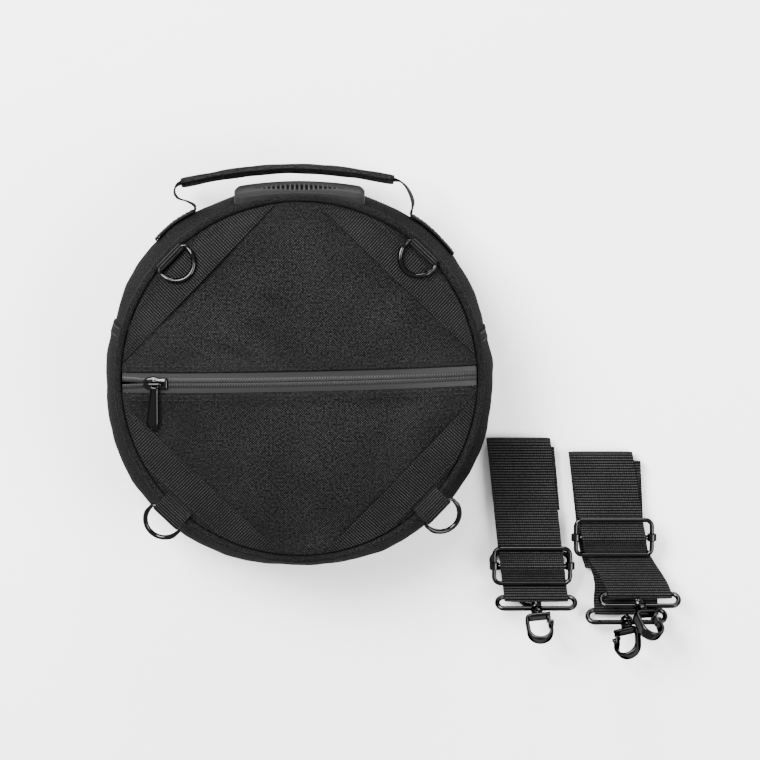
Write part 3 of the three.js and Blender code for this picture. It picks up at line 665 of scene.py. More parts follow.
def make_finish(name, group, inputs, bump, constants):
    """A material whose colour, roughness and bump come from one of the node groups."""
    if name in bpy.data.materials:
        return bpy.data.materials[name]
    material = bpy.data.materials.new(name)
    material.use_nodes = True
    sheet = NodeSheet(material.node_tree)
    surface = material.node_tree.nodes["Principled BSDF"].inputs
    look = sheet.add("ShaderNodeGroup", inputs, node_tree=group).outputs
    strength, distance = bump
    relief = sheet.add(
        "ShaderNodeBump", {"Height": look["Height"], "Strength": strength, "Distance": distance})
    sheet.link(look["Colour"], surface["Base Color"])
    sheet.link(look["Roughness"], surface["Roughness"])
    sheet.link(relief.outputs["Normal"], surface["Normal"])
    for key, value in constants.items():
        surface[key].default_value = value
    return material


def colour(values, gain=1.0):
    """A colour of the settings times gain, with an alpha of 1."""
    return (values[0] * gain, values[1] * gain, values[2] * gain, 1.0)


THREAD_RELIEF = 0.0003
SKIN_RELIEF = 0.0002
METAL_RELIEF = 0.0001


def woven_finish(name, gain=1.0, contrast=0.95, bump=0.35, sheen=0.002, gloss=0.03):
    """Woven cloth, in the colour of the settings times gain."""
    s = settings()
    return make_finish(
        name, woven_group(),
        {"Colour": colour(s.cloth_colour, gain), "Pitch": s.weave / MM, "Contrast": contrast},
        (bump, THREAD_RELIEF),
        {"Sheen Weight": sheen, "Sheen Roughness": 0.5, "Specular IOR Level": gloss})


def cloth_finish():
    return woven_finish("woven_cloth_black")


# The side wall's cloth at three quarters of the front's colour: painted shade on the wall
def wall_shade_material():
    return woven_finish("wall_cloth_painted_shade", gain=0.75, sheen=0.0, gloss=0.015)


# The handle sleeve's cloth at one and a half times the front's colour: painted light on the sleeve
def sleeve_light_material():
    return woven_finish("handle_cloth_painted_light", gain=1.5)


def piping_finish():
    return woven_finish("piping_cloth_black", gain=0.85, contrast=0.9, bump=0.3)


def ribbed_finish(name, pitch, wear_and_crown_light, gain=1.0, sheen=0.002, gloss=0.04):
    """Webbing, in the colour of the settings times gain, with wear and a painted highlight on the crowns of
    its ribs.
    """
    return make_finish(
        name, ribbed_group(),
        {"Colour": colour(settings().webbing_colour, gain), "Pitch": pitch / MM, "Wear And Crown Light": wear_and_crown_light},
        (0.3, THREAD_RELIEF),
        {"Sheen Weight": sheen, "Sheen Roughness": 0.4, "Specular IOR Level": gloss})


def strap_finish():
    return ribbed_finish("strap_webbing_black", settings().strap_rib, 2.0)


def band_finish():
    return ribbed_finish("band_webbing_black", settings().band_rib, 1.7, gain=0.9)


def handle_finish():
    return ribbed_finish("handle_webbing_black", settings().band_rib, 0.7, gain=0.6, sheen=0.0, gloss=0.02)


def handled_finish(name, tone, gains, grain, roughness, bump, constants):
    """A hard surface: a tone times one gain as it was made, and times another where it is rubbed."""
    made, rubbed = gains
    return make_finish(
        name, handled_group(),
        {"Colour": colour(tone, made), "Rubbed": colour(tone, rubbed), "Grain": grain,
         "Base Roughness": roughness},
        bump, constants)


def zip_finish():
    return handled_finish(
        "coated_zip_grey", settings().zip_colour, (1.0, 2.2), 1800.0, 0.4, (0.2, SKIN_RELIEF),
        {"Specular IOR Level": 0.2})


def moulded_finish(name, gains, roughness, gloss):
    return handled_finish(
        name, settings().grip_colour, gains, 2400.0, roughness, (0.15, SKIN_RELIEF),
        {"Specular IOR Level": gloss})


def grip_finish():
    return moulded_finish("moulded_grip_grey", (1.0, 1.5), 0.5, 0.12)


# The grip colour darkened to paint the shade in the hollow
def hollow_shade_material():
    return moulded_finish("moulded_grip_painted_shade", (0.06, 0.3), 0.5, 0.03)


# The grip colour lightened to paint a highlight on the ribs
def rib_highlight_material():
    return moulded_finish("moulded_ribs_painted_highlight", (4.0, 8.0), 0.3, 0.2)


def metal_finish():
    return handled_finish(
        "plated_metal_black", settings().metal_colour, (1.0, 2.5), 1500.0, 0.02, (0.03, METAL_RELIEF),
        {"Metallic": 1.0, "Specular Tint": (0.25, 0.25, 0.26, 1.0)})


def thread_finish():
    return handled_finish(
        "sewing_thread_black", settings().webbing_colour, (8.0, 22.0), 3000.0, 0.5, (0.2, SKIN_RELIEF),
        {"Specular IOR Level": 0.15})


def metal_piece(node, shells):
    """Plated metal in the place of a frame node."""
    make_piece(node + "_metal", shells, metal_finish(), node, (node,))


# Shared surfaces of the bag

def dome(r):
    """Height of the front at a distance from its middle."""
    return SEAM_Z + DOME_RISE * (1 - (np.minimum(r, PANEL_R) / PANEL_R) ** DOME_POWER)


# Folds pulled into the cloth beside its corner bands: X, Y, rise, width and length
FOLDS = ((-54, 20, -2.6, 4.5, 22.0), (-46, 30, 2.4, 5.0, 26.0), (-58, 9, 2.0, 5.0, 22.0),
         (-22, 60, -2.4, 5.0, 20.0), (-16, 71, 1.7, 6.0, 18.0), (-30, 49, 2.2, 6.0, 24.0),
         (40, 62, 1.5, 7.0, 20.0), (54, -42, 1.5, 8.0, 24.0))
FOLD_TURN = math.radians(-33)
FOLD_REACH = 74.0
RIPPLE_LIMIT = 2.2
# Long waves of the cloth: height, turns along X and Y, and phase
WAVES = ((0.55, 0.061, 0.035, 0.4), (0.45, -0.043, 0.079, 1.9), (0.32, 0.103, -0.052, 3.1),
         (0.20, 0.021, 0.151, 5.0), (0.14, -0.163, 0.117, 2.2))
WAVE_GAIN = 1.4
WAVE_SINK = 0.4


def ripple(x, y):
    """Soft unevenness of the cloth over the padded front."""
    height = sum(WAVE_GAIN * a * np.sin(kx * x + ky * y + phase) for a, kx, ky, phase in WAVES) - WAVE_SINK
    clear = 1 - smoothstep((np.abs(x) + np.abs(y)) / math.sqrt(2), FOLD_REACH - 10, FOLD_REACH)
    for cx, cy, rise, short, long in FOLDS:
        along = (x - cx) * math.cos(FOLD_TURN) + (y - cy) * math.sin(FOLD_TURN)
        beside = (y - cy) * math.cos(FOLD_TURN) - (x - cx) * math.sin(FOLD_TURN)
        height = height + clear * rise * np.exp(-((beside / short) ** 2) - (along / long) ** 2)
    return RIPPLE_LIMIT * np.tanh(height / RIPPLE_LIMIT)


def front_point(x, y, lift):
    """A point of the domed front, in the turned frame of its zip."""
    x, y, lift = np.broadcast_arrays(np.asarray(x, float), np.asarray(y, float), np.asarray(lift, float))
    flat = np.stack([x, y, dome(np.hypot(x, y)) + lift], axis=-1)
    return turn_z(flat, FRONT_TURN)


def wall_share(z):
    """How far up the side wall a height is, from 0 to 1."""
    return np.clip((z - WALL_BOTTOM) / (WALL_TOP - WALL_BOTTOM), 0, 1)


def wall_radius(z, bulge):
    """Distance of the smooth side wall from the middle of the bag at a height."""
    return WALL_EDGE_R + bulge * np.maximum(np.sin(math.pi * wall_share(z)), 0) ** 0.75


def creases(theta, z):
    """Creases of the side wall: short folds that lean, strongest half way up."""
    up = wall_share(z)
    bell = np.sin(math.pi * up)
    fold = np.sin(17 * theta + 2.4 * up) + 0.7 * np.sin(31 * theta - 3.1 * up + 1.0)
    fold = fold + 0.5 * np.sin(53 * theta + 5.0 * up + 2.0)
    return settings().wrinkle / MM * bell * (fold - 1.4) / 2.2


def swell(shell):
    """Pushes a shell on the side wall out at the four diagonals of the bag."""
    points, quads, uv = shell
    points = np.asarray(points, dtype=float)
    x, y, z = points[:, 0], points[:, 1], points[:, 2]
    amount = np.where(y > 0, np.where(x > 0, *SWELL_UPPER), np.where(x > 0, *SWELL_LOWER))
    diagonal = np.sin(2 * np.arctan2(y, x)) ** 2
    amount = amount * diagonal * (2 - diagonal) * np.sin(math.pi * wall_share(z)) ** 1.5
    from_crown = np.degrees(np.arctan2(np.abs(x), y))
    amount = amount * smoothstep(from_crown, 22, 42)
    radius = np.hypot(x, y)
    amount = amount * (1 - smoothstep(radius - WALL_EDGE_R, 8, 30))
    points = points + amount[:, None] * np.stack([x / radius, y / radius, np.zeros_like(x)], axis=1)
    return points, quads, uv


# Bag body

def side_wall(name, start, end, low, high, bulge, seam):
    """A sector of the gusset, with raised seam tape at its ends where seam is its width."""
    per_degree = 1.4
    levels = 40 if high - low > 30 else 14
    theta = np.radians(np.linspace(start, end, max(12, int((end - start) * per_degree))))[:, None]
    z = np.linspace(low, high, levels)[None, :]
    tape = 0
    if seam:
        reach = RIM_R * np.minimum(theta - theta[0], theta[-1] - theta)
        bulge = bulge - SEAM_DRAW * (1 - smoothstep(reach, 0, SEAM_DRAW_REACH))
        tape = SEAM_TAPE_RISE * (1 - smoothstep(reach, seam - 0.8, seam + 0.8))
    hem = HEM_DROP * (1 - smoothstep(np.minimum(z - low, high - z), 0, HEM_REACH))
    outer = polar(wall_radius(z, bulge) + creases(theta, z) + tape - hem, theta, z)
    inner = polar(wall_radius(z, bulge) - WALL, theta, z)
    make_piece(name + "_cloth", [swell(slab(outer, inner))], wall_shade_material(), name, (name,))


class CHESTBAG_OT_side_walls(bpy.types.Operator):
    """Builds the creased side wall of the bag"""

    bl_idname = "chestbag.side_walls"
    bl_label = "Side Walls"

    def execute(self, context):
        side_wall("gusset_lower", UPPER_TO + SEAM_GAP, 360 + UPPER_FROM - SEAM_GAP, WALL_BOTTOM, WALL_TOP,
                  LOWER_BULGE, SEAM_TAPE)
        side_wall("gusset_upper_front", UPPER_FROM, UPPER_TO, MAIN_ZIP_TOP + GAP, WALL_TOP, UPPER_BULGE, 0)
        side_wall("gusset_upper_back", UPPER_FROM, UPPER_TO, WALL_BOTTOM, MAIN_ZIP_BOTTOM - GAP,
                  UPPER_BULGE, 0)
        self.sew()
        return {"FINISHED"}

    def sew(self):
        """Two rows of stitches along each seam tape."""
        z = np.linspace(WALL_BOTTOM + 4, WALL_TOP - 4, 90)
        on_tape = 0.55
        shells = []
        for edge, inward in ((UPPER_TO + SEAM_GAP, 1), (360 + UPPER_FROM - SEAM_GAP, -1)):
            for inset in (1.8, 7.6):
                theta = math.radians(edge) + inward * inset / RIM_R
                drawn = SEAM_DRAW * (1 - smoothstep(inset, 0, SEAM_DRAW_REACH))
                radius = wall_radius(z, LOWER_BULGE - drawn) + creases(theta, z) + on_tape
                shells += stitches(polar(radius, theta, z), polar(1, theta, np.zeros_like(z)))
        make_piece("side_wall_stitches", [swell(s) for s in shells], thread_finish(), "gusset_lower")


class CHESTBAG_OT_rims(bpy.types.Operator):
    """Builds the piped rims and the back panel"""

    bl_idname = "chestbag.rims"
    bl_label = "Rims and Back"

    def execute(self, context):
        for name, height in (("front_rim", SEAM_Z), ("back_rim", BACK_SEAM_Z)):
            self.rim(name, height)
        self.back()
        return {"FINISHED"}

    def rim(self, name, height):
        """A piped edge: cloth pulled over a cord, gathered into fine puckers."""
        theta = circle(720)
        a = circle(18)
        puckers, sways = 190, 11
        pucker = 0.16 * np.sin(puckers * theta + 1.5 * np.sin(9 * theta)) + 0.10 * np.sin(67 * theta)
        radius = PIPING_R - 0.2 + pucker[:, None] * (0.6 + 0.4 * np.cos(a))[None, :]
        sway = 0.15 * np.sin(sways * theta) + 0.1 * np.sin(23 * theta + 1)
        out = RIM_R + radius * np.cos(a)[None, :]
        rows = polar(out, theta[:, None], height + sway[:, None] + radius * np.sin(a)[None, :])
        make_piece(name + "_piping", [tube(rows, closed=True)], piping_finish(), name, (name,))

    def back(self):
        """The round back: a slightly quilted pad that rests flat in its middle."""
        theta = circle(120)[:, None]
        radii = np.concatenate([np.linspace(2, PANEL_R - 6, 34), PANEL_R - np.array([4, 2.4, 1.2, 0.4, 0.0])])
        edge = smoothstep(radii, PANEL_R - 7, PANEL_R)
        quilt_pitch, edge_round = 34, 0.55
        quilt = 0.35 * (1 - np.abs(np.sin(radii * math.pi / quilt_pitch)) ** 0.6)
        low = quilt + edge_round * edge
        high = CLOTH - edge_round * edge
        loop_r = np.concatenate([radii, radii[::-1]])
        loop_z = np.concatenate([high, low[::-1]])
        shell = plan_uv(tube(polar(loop_r, theta, loop_z), closed=True))
        make_piece("back_panel_cloth", [shell], cloth_finish(), "back_panel", ("back_panel",))


class CHESTBAG_OT_front(bpy.types.Operator):
    """Builds the two cloth panels of the domed front and their hems"""

    bl_idname = "chestbag.front"
    bl_label = "Front Panels"

    def execute(self, context):
        for name, side in (("front_panel_upper", 1), ("front_panel_lower", -1)):
            self.panel(name, side)
        self.sew()
        return {"FINISHED"}

    def panel(self, name, side):
        """Half of the dome, from a rolled hem beside the zip to the rim."""
        hem = ZIP_HALF + GAP
        short_of_tips = 0.996
        limit = short_of_tips * math.acos(hem / PANEL_R)
        spread = np.linspace(-limit, limit, 150)
        x = PANEL_R * np.sin(spread)
        far = np.sqrt(np.maximum(PANEL_R ** 2 - x ** 2, hem ** 2))
        t = np.concatenate([[0, 0.004, 0.01, 0.02, 0.035, 0.05, 0.065], np.linspace(0.09, 1, 80)])
        y = hem + (far - hem)[:, None] * t[None, :]
        xs = np.broadcast_to(x[:, None], y.shape)
        from_hem = y - hem
        from_rim = PANEL_R - np.hypot(xs, y)
        inside = smoothstep(from_hem, 2, 14) * smoothstep(from_rim, 1, 16)
        hem_rise, hem_fold, rim_fold = 0.7, 0.5, 0.35
        roll = hem_rise * smoothstep(from_hem, 0, 1.4) * (1 - smoothstep(from_hem, 6.0, 7.4))
        lift = ripple(xs, side * y) * inside - 0.6 * inside + roll
        lift = lift - hem_fold * (1 - smoothstep(from_hem, 0, 0.9))
        lift = lift - rim_fold * (1 - smoothstep(from_rim, 0, 3))
        top = front_point(xs, side * y, lift)
        bottom = front_point(xs, side * y, np.minimum(lift - 1.0, -CLOTH))
        shell = plan_uv(slab(top, bottom))
        make_piece(name + "_cloth", [shell], cloth_finish(), name, (name,))

    def sew(self):
        """Two lines of stitches along each hem."""
        x = np.linspace(-PANEL_R + 6, PANEL_R - 6, 260)
        raised = 0.65
        shells = []
        for side in (1, -1):
            for inset in (1.9, 5.2):
                path = front_point(x, side * (ZIP_HALF + GAP + inset), raised)
                shells += stitches(path, repeated(UP, path))
        make_piece("front_stitches", shells, thread_finish(), "front_panel_upper")


class CHESTBAG_OT_bands(bpy.types.Operator):
    """Builds the webbing bands sewn across the corners of the front"""

    bl_idname = "chestbag.bands"
    bl_label = "Corner Bands"

    def execute(self, context):
        for corner, angle in CORNERS.items():
            self.band(corner, angle)
        return {"FINISHED"}

    def band(self, corner, angle):
        """A straight strip laid on the dome, cut to the rim, ribbed across its length."""
        reach = PANEL_R - 2 * GAP
        pitch = settings().band_rib / MM
        across = np.linspace(0, 1, 27)
        radial = BAND_INNER + BAND_WIDTH * across
        half = np.sqrt(np.maximum(reach ** 2 - radial ** 2, 1))
        t = np.linspace(-1, 1, 420)
        along = half[None, :] * t[:, None]
        radial = np.broadcast_to(radial[None, :], along.shape)
        rib = BAND_RIB_DEPTH * ribs(along, pitch)
        border = np.minimum(across, 1 - across) * BAND_WIDTH
        selvedge = 0.5 * (1 - smoothstep(border, 0, 1.4))[None, :]
        sewn = -0.3 * np.exp(-(((border - BAND_STITCH_INSET) / 0.6) ** 2))[None, :]
        lift = GAP + WEBBING - BAND_RIB_DEPTH + rib - selvedge + sewn + 0.12 * ripple(radial, along)
        ground = dome(np.hypot(radial, along))
        top = np.stack([radial, along, ground + lift], axis=-1)
        bottom = np.stack([radial, along, ground + GAP], axis=-1)
        turn = math.radians(angle) + FRONT_TURN
        points, quads, _ = slab(top, bottom)
        uv = points[quads][:, :, [1, 0]]
        node = f"corner_band_{corner}"
        make_piece(node + "_webbing", [(turn_z(points, turn), quads, uv)], band_finish(), node,
                   (node,))
        shells = []
        for inset in (BAND_STITCH_INSET, BAND_WIDTH - BAND_STITCH_INSET):
            r = BAND_INNER + inset
            length = math.sqrt(reach ** 2 - r ** 2) - 2
            y = np.linspace(-length, length, 160)
            path = np.stack([np.full_like(y, r), y, dome(np.hypot(r, y)) + GAP + WEBBING - 0.2], axis=1)
            shells += stitches(turn_z(path, turn), repeated(UP, path), 3.4, 1.4, 0.36)
        make_piece(node + "_stitches", shells, thread_finish(), node)


# Zips

class CHESTBAG_OT_zips(bpy.types.Operator):
    """Builds the pocket zip with its open end, and the main zip in the side wall"""

    bl_idname = "chestbag.zips"
    bl_label = "Zips"

    def execute(self, context):
        self.pocket()
        self.main_zip()
        return {"FINISHED"}

    def pocket(self):
        """Two tapes that meet in a coil right of the slider and part left of it."""
        end = math.sqrt(PANEL_R ** 2 - ZIP_HALF ** 2) - 0.4
        x = np.concatenate([np.linspace(-end, ZIP_OPEN_TO, 40), np.linspace(ZIP_OPEN_TO + 1, end, 760)])
        mouth = np.maximum(ZIP_OPEN_TO - x, 0) * ZIP_MOUTH / (2 * PANEL_R + ZIP_OPEN_TO)
        shells = []
        for side in (1, -1):
            t = np.concatenate([[0, 0.03, 0.08, 0.2, 0.4], np.linspace(0.47, 1, 9)])
            inner = mouth + 0.05
            y = inner[:, None] + (ZIP_HALF - inner)[:, None] * t[None, :]
            xs = np.broadcast_to(x[:, None], y.shape)
            bead = np.sqrt(np.maximum(1 - ((y - mouth[:, None] - COIL_HALF / 2) / (COIL_HALF / 2)) ** 2, 0))
            teeth = 0.3 * np.cos(math.tau * xs / ZIP_TOOTH)
            lift = -ZIP_SUNK + bead * (0.55 + teeth)
            top = front_point(xs, side * y, lift)
            bottom = front_point(xs, side * y, -ZIP_SUNK - ZIP_TAPE)
            shells.append(plan_uv(slab(top, bottom)))
        make_piece("pocket_zip_tape", shells, zip_finish(), "pocket_zip", ("pocket_zip",))

    def main_zip(self):
        """The closing of the main compartment, one tape with a coil down its middle."""
        theta = np.radians(np.linspace(UPPER_FROM, UPPER_TO, 800))[:, None]
        z = np.linspace(MAIN_ZIP_BOTTOM, MAIN_ZIP_TOP, 18)[None, :]
        middle = (MAIN_ZIP_BOTTOM + MAIN_ZIP_TOP) / 2
        coil_r = 1.3
        bead = np.sqrt(np.maximum(1 - ((np.abs(z - middle) - coil_r) / coil_r) ** 2, 0))
        teeth = 0.3 * np.cos(RIM_R * theta * math.tau / ZIP_TOOTH)
        base = wall_radius(z, UPPER_BULGE) - ZIP_SUNK
        outer = polar(base + bead * (0.7 + teeth), theta, z)
        inner = polar(base - ZIP_TAPE, theta, z)
        shell = swell(slab(outer, inner))
        make_piece("main_zip_tape", [shell], zip_finish(), "main_zip", ("main_zip",))


def slider_matrix():
    """Puts the slider on the dome, turned and sloped with it."""
    out = abs(SLIDER_X)
    slope = float(dome(out - 1) - dome(out + 1)) / 2
    place = Matrix.Translation((SLIDER_X, SLIDER_X * math.tan(FRONT_TURN), float(dome(out)) + 0.85))
    return place @ Matrix.Rotation(-math.atan(slope), 4, "Y") @ Matrix.Rotation(FRONT_TURN, 4, "Z")


class CHESTBAG_OT_slider(bpy.types.Operator):
    """Builds the zip slider with its bail, and the pull tab"""

    bl_idname = "chestbag.slider"
    bl_label = "Slider and Pull"

    def execute(self, context):
        self.slider()
        self.pull()
        return {"FINISHED"}

    def slider(self):
        """A shield-shaped plate with softened edges and a wire bail over it."""
        corners = [(9.5, 0.4), (9.4, 3.2), (8.9, 4.4), (6.5, 4.55), (2.85, 4.31), (1.0, 4.8), (-0.95, 5.75),
                   (-4.0, 5.1), (-7.1, 4.3), (-9.0, 2.6), (-9.5, 0.4)]
        half = resample(np.array(corners, dtype=float), 0.8)
        levels = [(0.0, 0.9), (0.15, 0.3), (0.6, 0.0), (1.5, 0.0), (2.05, 0.35), (SLIDER_TOP, 1.1)]
        shells = [plate(half, levels)]
        bail = np.array([
            (-BAIL_HALF, 0, 1.2), (-BAIL_HALF, 0, BAIL_TOP - 1.4), (-5.3, 0, BAIL_TOP - 0.3),
            (-4.4, 0, BAIL_TOP), (4.4, 0, BAIL_TOP), (5.3, 0, BAIL_TOP - 0.3),
            (BAIL_HALF, 0, BAIL_TOP - 1.4), (BAIL_HALF, 0, 1.2)])
        bail = relax(resample(bail, 0.6), 3)
        shells.append(sweep(bail, repeated((0.0, 1.0, 0.0), bail), squircle(0.9, 0.75, 3, 16)))
        for x in (-BAIL_HALF, BAIL_HALF):
            foot = lathe([(0.05, 3.1), (0.9, 3.0), (1.35, 2.5), (1.5, 1.8)], 20)
            shells.append(moved(foot, Matrix.Translation((x, 0, 0)) @ Matrix.Rotation(math.pi / 2, 4, "X")))
        metal_piece("zip_slider", [moved(shell, slider_matrix()) for shell in shells])

    def pull(self):
        """A flat tab with a raised rim and an eye that runs under the bail."""
        wide, length, wire_r = 4.9, 36.0, 0.65
        below = math.hypot(1.8, 1.5) / 2 + GAP + 2 * wire_r
        far = 0.9 + 2 * GAP + 2 * wire_r
        neck = -far - 0.5
        loop = np.array([(-2.55, neck, 0), (2.55, neck, 0), (2.55, far - 1.6, 0), (1.6, far - wire_r, 0),
                         (-1.6, far - wire_r, 0), (-2.55, far - 1.6, 0)])
        eye = wire(resample_loop(loop, 0.5), wire_r, UP, closed=True)
        eye = moved(eye, Matrix.Translation((0, 0, wire_r)))
        end = arc(-length + wide, 0, wide, 90, 180, 10)
        start = wide * 0.62
        half = np.concatenate([[(neck + 0.9, 0.3), (neck + 0.7, start - 0.8), (neck + 0.2, start)], end])
        half = resample(np.maximum(half, [(-99, 0.05)]), 0.9)
        levels = [(0.0, 0.9), (0.0, 0.4), (0.35, 0.0), (1.2, 0.0), (1.6, 0.3), (1.75, 0.7), (1.6, 1.1),
                  (0.7, 1.5), (0.6, 1.9)]
        tab = plate(half, levels)
        upright = Matrix.Rotation(math.radians(-6), 4, "Z") @ Matrix.Rotation(math.pi / 2, 4, "Z")
        tab = moved(tab, upright)
        hang = (slider_matrix() @ Matrix.Translation((0, 0, BAIL_TOP))
                @ Matrix.Rotation(math.radians(5), 4, "X") @ Matrix.Translation((0, 0, -below)))
        metal_piece("zip_pull", [moved(eye, hang), moved(tab, hang)])


# Rings and tabs

def corner_matrix(angle):
    """Turns what lies along X to a corner of the front."""
    return Matrix.Rotation(math.radians(angle) + FRONT_TURN, 4, "Z")


class CHESTBAG_OT_rings(bpy.types.Operator):
    """Builds the webbing tabs and the D-rings at the corners"""

    bl_idname = "chestbag.rings"
    bl_label = "Rings and Tabs"

    def execute(self, context):
        for corner, angle in CORNERS.items():
            upper = corner.startswith("top")
            self.tab(corner, angle, upper)
            self.ring(corner, angle, upper)
        return {"FINISHED"}

    def tab(self, corner, angle, upper):
        """A strip of webbing from the seam, round the bar of the ring and back."""
        wrap = RING_WIRE_R + GAP + TAB_LAYER / 2
        if upper:
            r, z, _ = UPPER_BAR
            foot = float(dome(133.2)) + GAP + TAB_LAYER / 2
            path = np.concatenate([
                [(134.0, foot), (136.2, foot + 0.3)], arc(r, z, wrap, -70, 235, 30),
                [(133.6, foot + TAB_LAYER)]])
        else:
            r, z, _ = LOWER_BAR
            start = BAND_INNER + BAND_WIDTH + 2 * GAP
            foot = float(dome(start)) + GAP + TAB_LAYER / 2
            over = PIPING_R + 3 * GAP + TAB_LAYER / 2
            path = np.concatenate([
                [(start, foot), (PANEL_R - 2 * GAP, SEAM_Z + CLOTH + TAB_LAYER / 2)],
                arc(RIM_R, SEAM_Z, over, 130, 66, 8), arc(r, z, wrap, -105, 90, 24),
                [(RIM_R, SEAM_Z + over + TAB_LAYER), (start, foot + TAB_LAYER)]])
        path = relax(resample(path, TAB_STEP), 4)
        path = np.stack([path[:, 0], np.zeros(len(path)), path[:, 1]], axis=1)
        side = repeated((0.0, 1.0, 0.0), path)
        strip = webbing(path, side, TAB_WIDTH, TAB_LAYER, settings().band_rib / MM, 0.18)
        node = f"ring_tab_{corner}"
        make_piece(node + "_webbing", [moved(strip, corner_matrix(angle))], band_finish(), node,
                   (node,))
        if not upper:
            self.sew(node, angle, path)

    def sew(self, node, angle, path):
        """Two bars of close stitches across the tab, in front of the ring."""
        y = np.linspace(-11, 11, 40)
        shells = []
        for back in (6, 9):
            at = path[-1 - int(back / TAB_STEP)]
            row = np.stack([np.full_like(y, at[0]), y, np.full_like(y, at[2] + 0.62)], axis=1)
            shells += stitches(row, repeated(UP, row), 2.2, 0.7, 0.34)
        shells = [moved(shell, corner_matrix(angle)) for shell in shells]
        make_piece(node + "_stitches", shells, thread_finish(), node)

    def ring(self, corner, angle, upper):
        """A D of round wire with a welded joint in the middle of its bar."""
        r, z, tilt = UPPER_BAR if upper else LOWER_BAR
        bend = 3.4
        bow = np.radians(np.linspace(-72, 72, 60))
        stretch = (RING_REACH - bend) / RING_HALF
        outer = np.stack([bend + stretch * RING_HALF * np.cos(bow), RING_HALF * np.sin(bow)], axis=1)
        low = np.array([(0.0, -4.0), (0.0, bend - RING_HALF)])
        corner_low = arc(bend, bend - RING_HALF, bend, 180, 255, 8)
        loop = np.concatenate([low, corner_low, outer, corner_low[::-1] * [1, -1], low[::-1] * [1, -1]])
        flat = resample_loop(loop, 0.9)
        for _ in range(3):
            flat = (np.roll(flat, 1, axis=0) + 2 * flat + np.roll(flat, -1, axis=0)) / 4
        path = at_height(flat)
        weld = np.exp(-((np.hypot(path[:, 0], path[:, 1]) / 1.1) ** 2))
        stout = RING_STOUT * smoothstep(path[:, 0], 4, 10)
        path[:, 2] = stout
        shell = wire(path, RING_WIRE_R - 0.02 + 0.12 * weld + stout, UP, closed=True, sides=18)
        face = math.pi if upper else 0.0
        place = (corner_matrix(angle) @ Matrix.Translation((r, 0, z))
                 @ Matrix.Rotation(math.radians(tilt), 4, "Y") @ Matrix.Rotation(face, 4, "Z"))
        metal_piece(f"d_ring_{corner}", [moved(shell, place)])


# Grip and handle

class CHESTBAG_OT_grip(bpy.types.Operator):
    """Builds the moulded grip on the crown of the side wall"""

    bl_idname = "chestbag.grip"
    bl_label = "Moulded Grip"

    def execute(self, context):
        corner, edge_drop, edge_reach = 8.0, 2.2, 3.2
        middle = (GRIP_LOW + GRIP_HIGH) / 2
        tall = (GRIP_HIGH - GRIP_LOW) / 2
        x = GRIP_HALF * eased(170)
        inside = np.maximum(np.abs(x) - (GRIP_HALF - corner), 0)
        reach = tall - corner + np.sqrt(np.maximum(corner ** 2 - inside ** 2, 0.04))
        v = eased(58)
        z = middle + reach[:, None] * v[None, :]
        xs = np.broadcast_to(x[:, None], z.shape)
        to_edge = np.minimum(reach[:, None] * (1 - np.abs(v))[None, :], (GRIP_HALF - np.abs(x))[:, None])
        rounding = -edge_drop * (1 - smoothstep(to_edge, 0, edge_reach))
        step = -0.3 * np.exp(-(((to_edge - 2.6) / 0.5) ** 2))
        lens = self.lens(xs, z)
        lip = 0.25 * np.exp(-(((lens - 0.3) / 0.25) ** 2)) * (lens > 0.001)
        base = np.sqrt(wall_radius(z, UPPER_BULGE) ** 2 - xs ** 2)
        face = self.face(xs, z) + rounding + step - LENS_DEPTH * lens + lip
        face = np.maximum(face, base + GAP + 0.6)
        top = np.stack([xs, face, z], axis=-1)
        bottom = np.stack([xs, base + GAP, z], axis=-1)
        make_piece("top_grip_moulding", [slab(top, bottom)], grip_finish(), "top_grip",
                   ("top_grip",), sharp=60)
        self.insert()
        return {"FINISHED"}

    def face(self, x, z):
        """The front of the grip: flatter than the wall along it, and sloping to the rim."""
        crown = float(wall_radius(np.array(GRIP_LOW), UPPER_BULGE)) + 5.0
        slope = 5.4 * (np.clip(z - GRIP_LOW, 0, None) / (GRIP_HIGH - GRIP_LOW)) ** 1.6
        return crown - slope - (x / GRIP_HALF) ** 2 * 4.4

    def lens(self, x, z):
        """1 inside the pointed hollow of the grip, 0 outside, with a short slope between."""
        return smoothstep(self.lens_half(x) - np.abs(z - LENS_Z), -0.2, 1.0)

    def lens_half(self, x):
        """Half of the hollow's width at a distance from its middle."""
        return LENS_HALF * (1 - (x / LENS_LENGTH) ** 2)

    def insert(self):
        """Painted shade in the hollow as a dark sheet of the grip's colour, with a row of plain ribs across
        it in a lighter copy as painted highlight.
        """
        x = np.linspace(1.5 - LENS_LENGTH, LENS_LENGTH - 1.5, 160)
        # A dark sheet over the floor of the hollow: painted shade
        painted_shade_sheet = self.strip(x, np.zeros_like(x))
        make_piece("top_grip_painted_shade", [painted_shade_sheet], hollow_shade_material(), "top_grip", sharp=60)
        across = np.linspace(-1, 1, 9)
        bars = []
        for middle in np.arange(-28.8, 29, RIB_PITCH):
            bars.append(self.strip(middle + RIB_HALF * across, RIB_RISE * (1 - across ** 4)))
        # The ribs in a light copy of the grip colour: painted highlight
        make_piece("top_grip_ribs", bars, rib_highlight_material(), "top_grip", sharp=60)

    def strip(self, x, rise):
        """A strip over the floor of the hollow, which rises by an amount for each x."""
        x = x[:, None]
        half_width = self.lens_half(x) - 0.5
        z = LENS_Z + half_width * np.linspace(-1, 1, 15)[None, :]
        x = x * np.ones_like(z)
        to_edge = half_width - np.abs(z - LENS_Z)
        floor = self.face(x, z) - 2.1
        top = np.stack([x, floor + 0.15 + rise[:, None] * smoothstep(to_edge, 0.1, 1.0), z], axis=-1)
        bottom = np.stack([x, floor - 0.2, z], axis=-1)
        return slab(top, bottom)


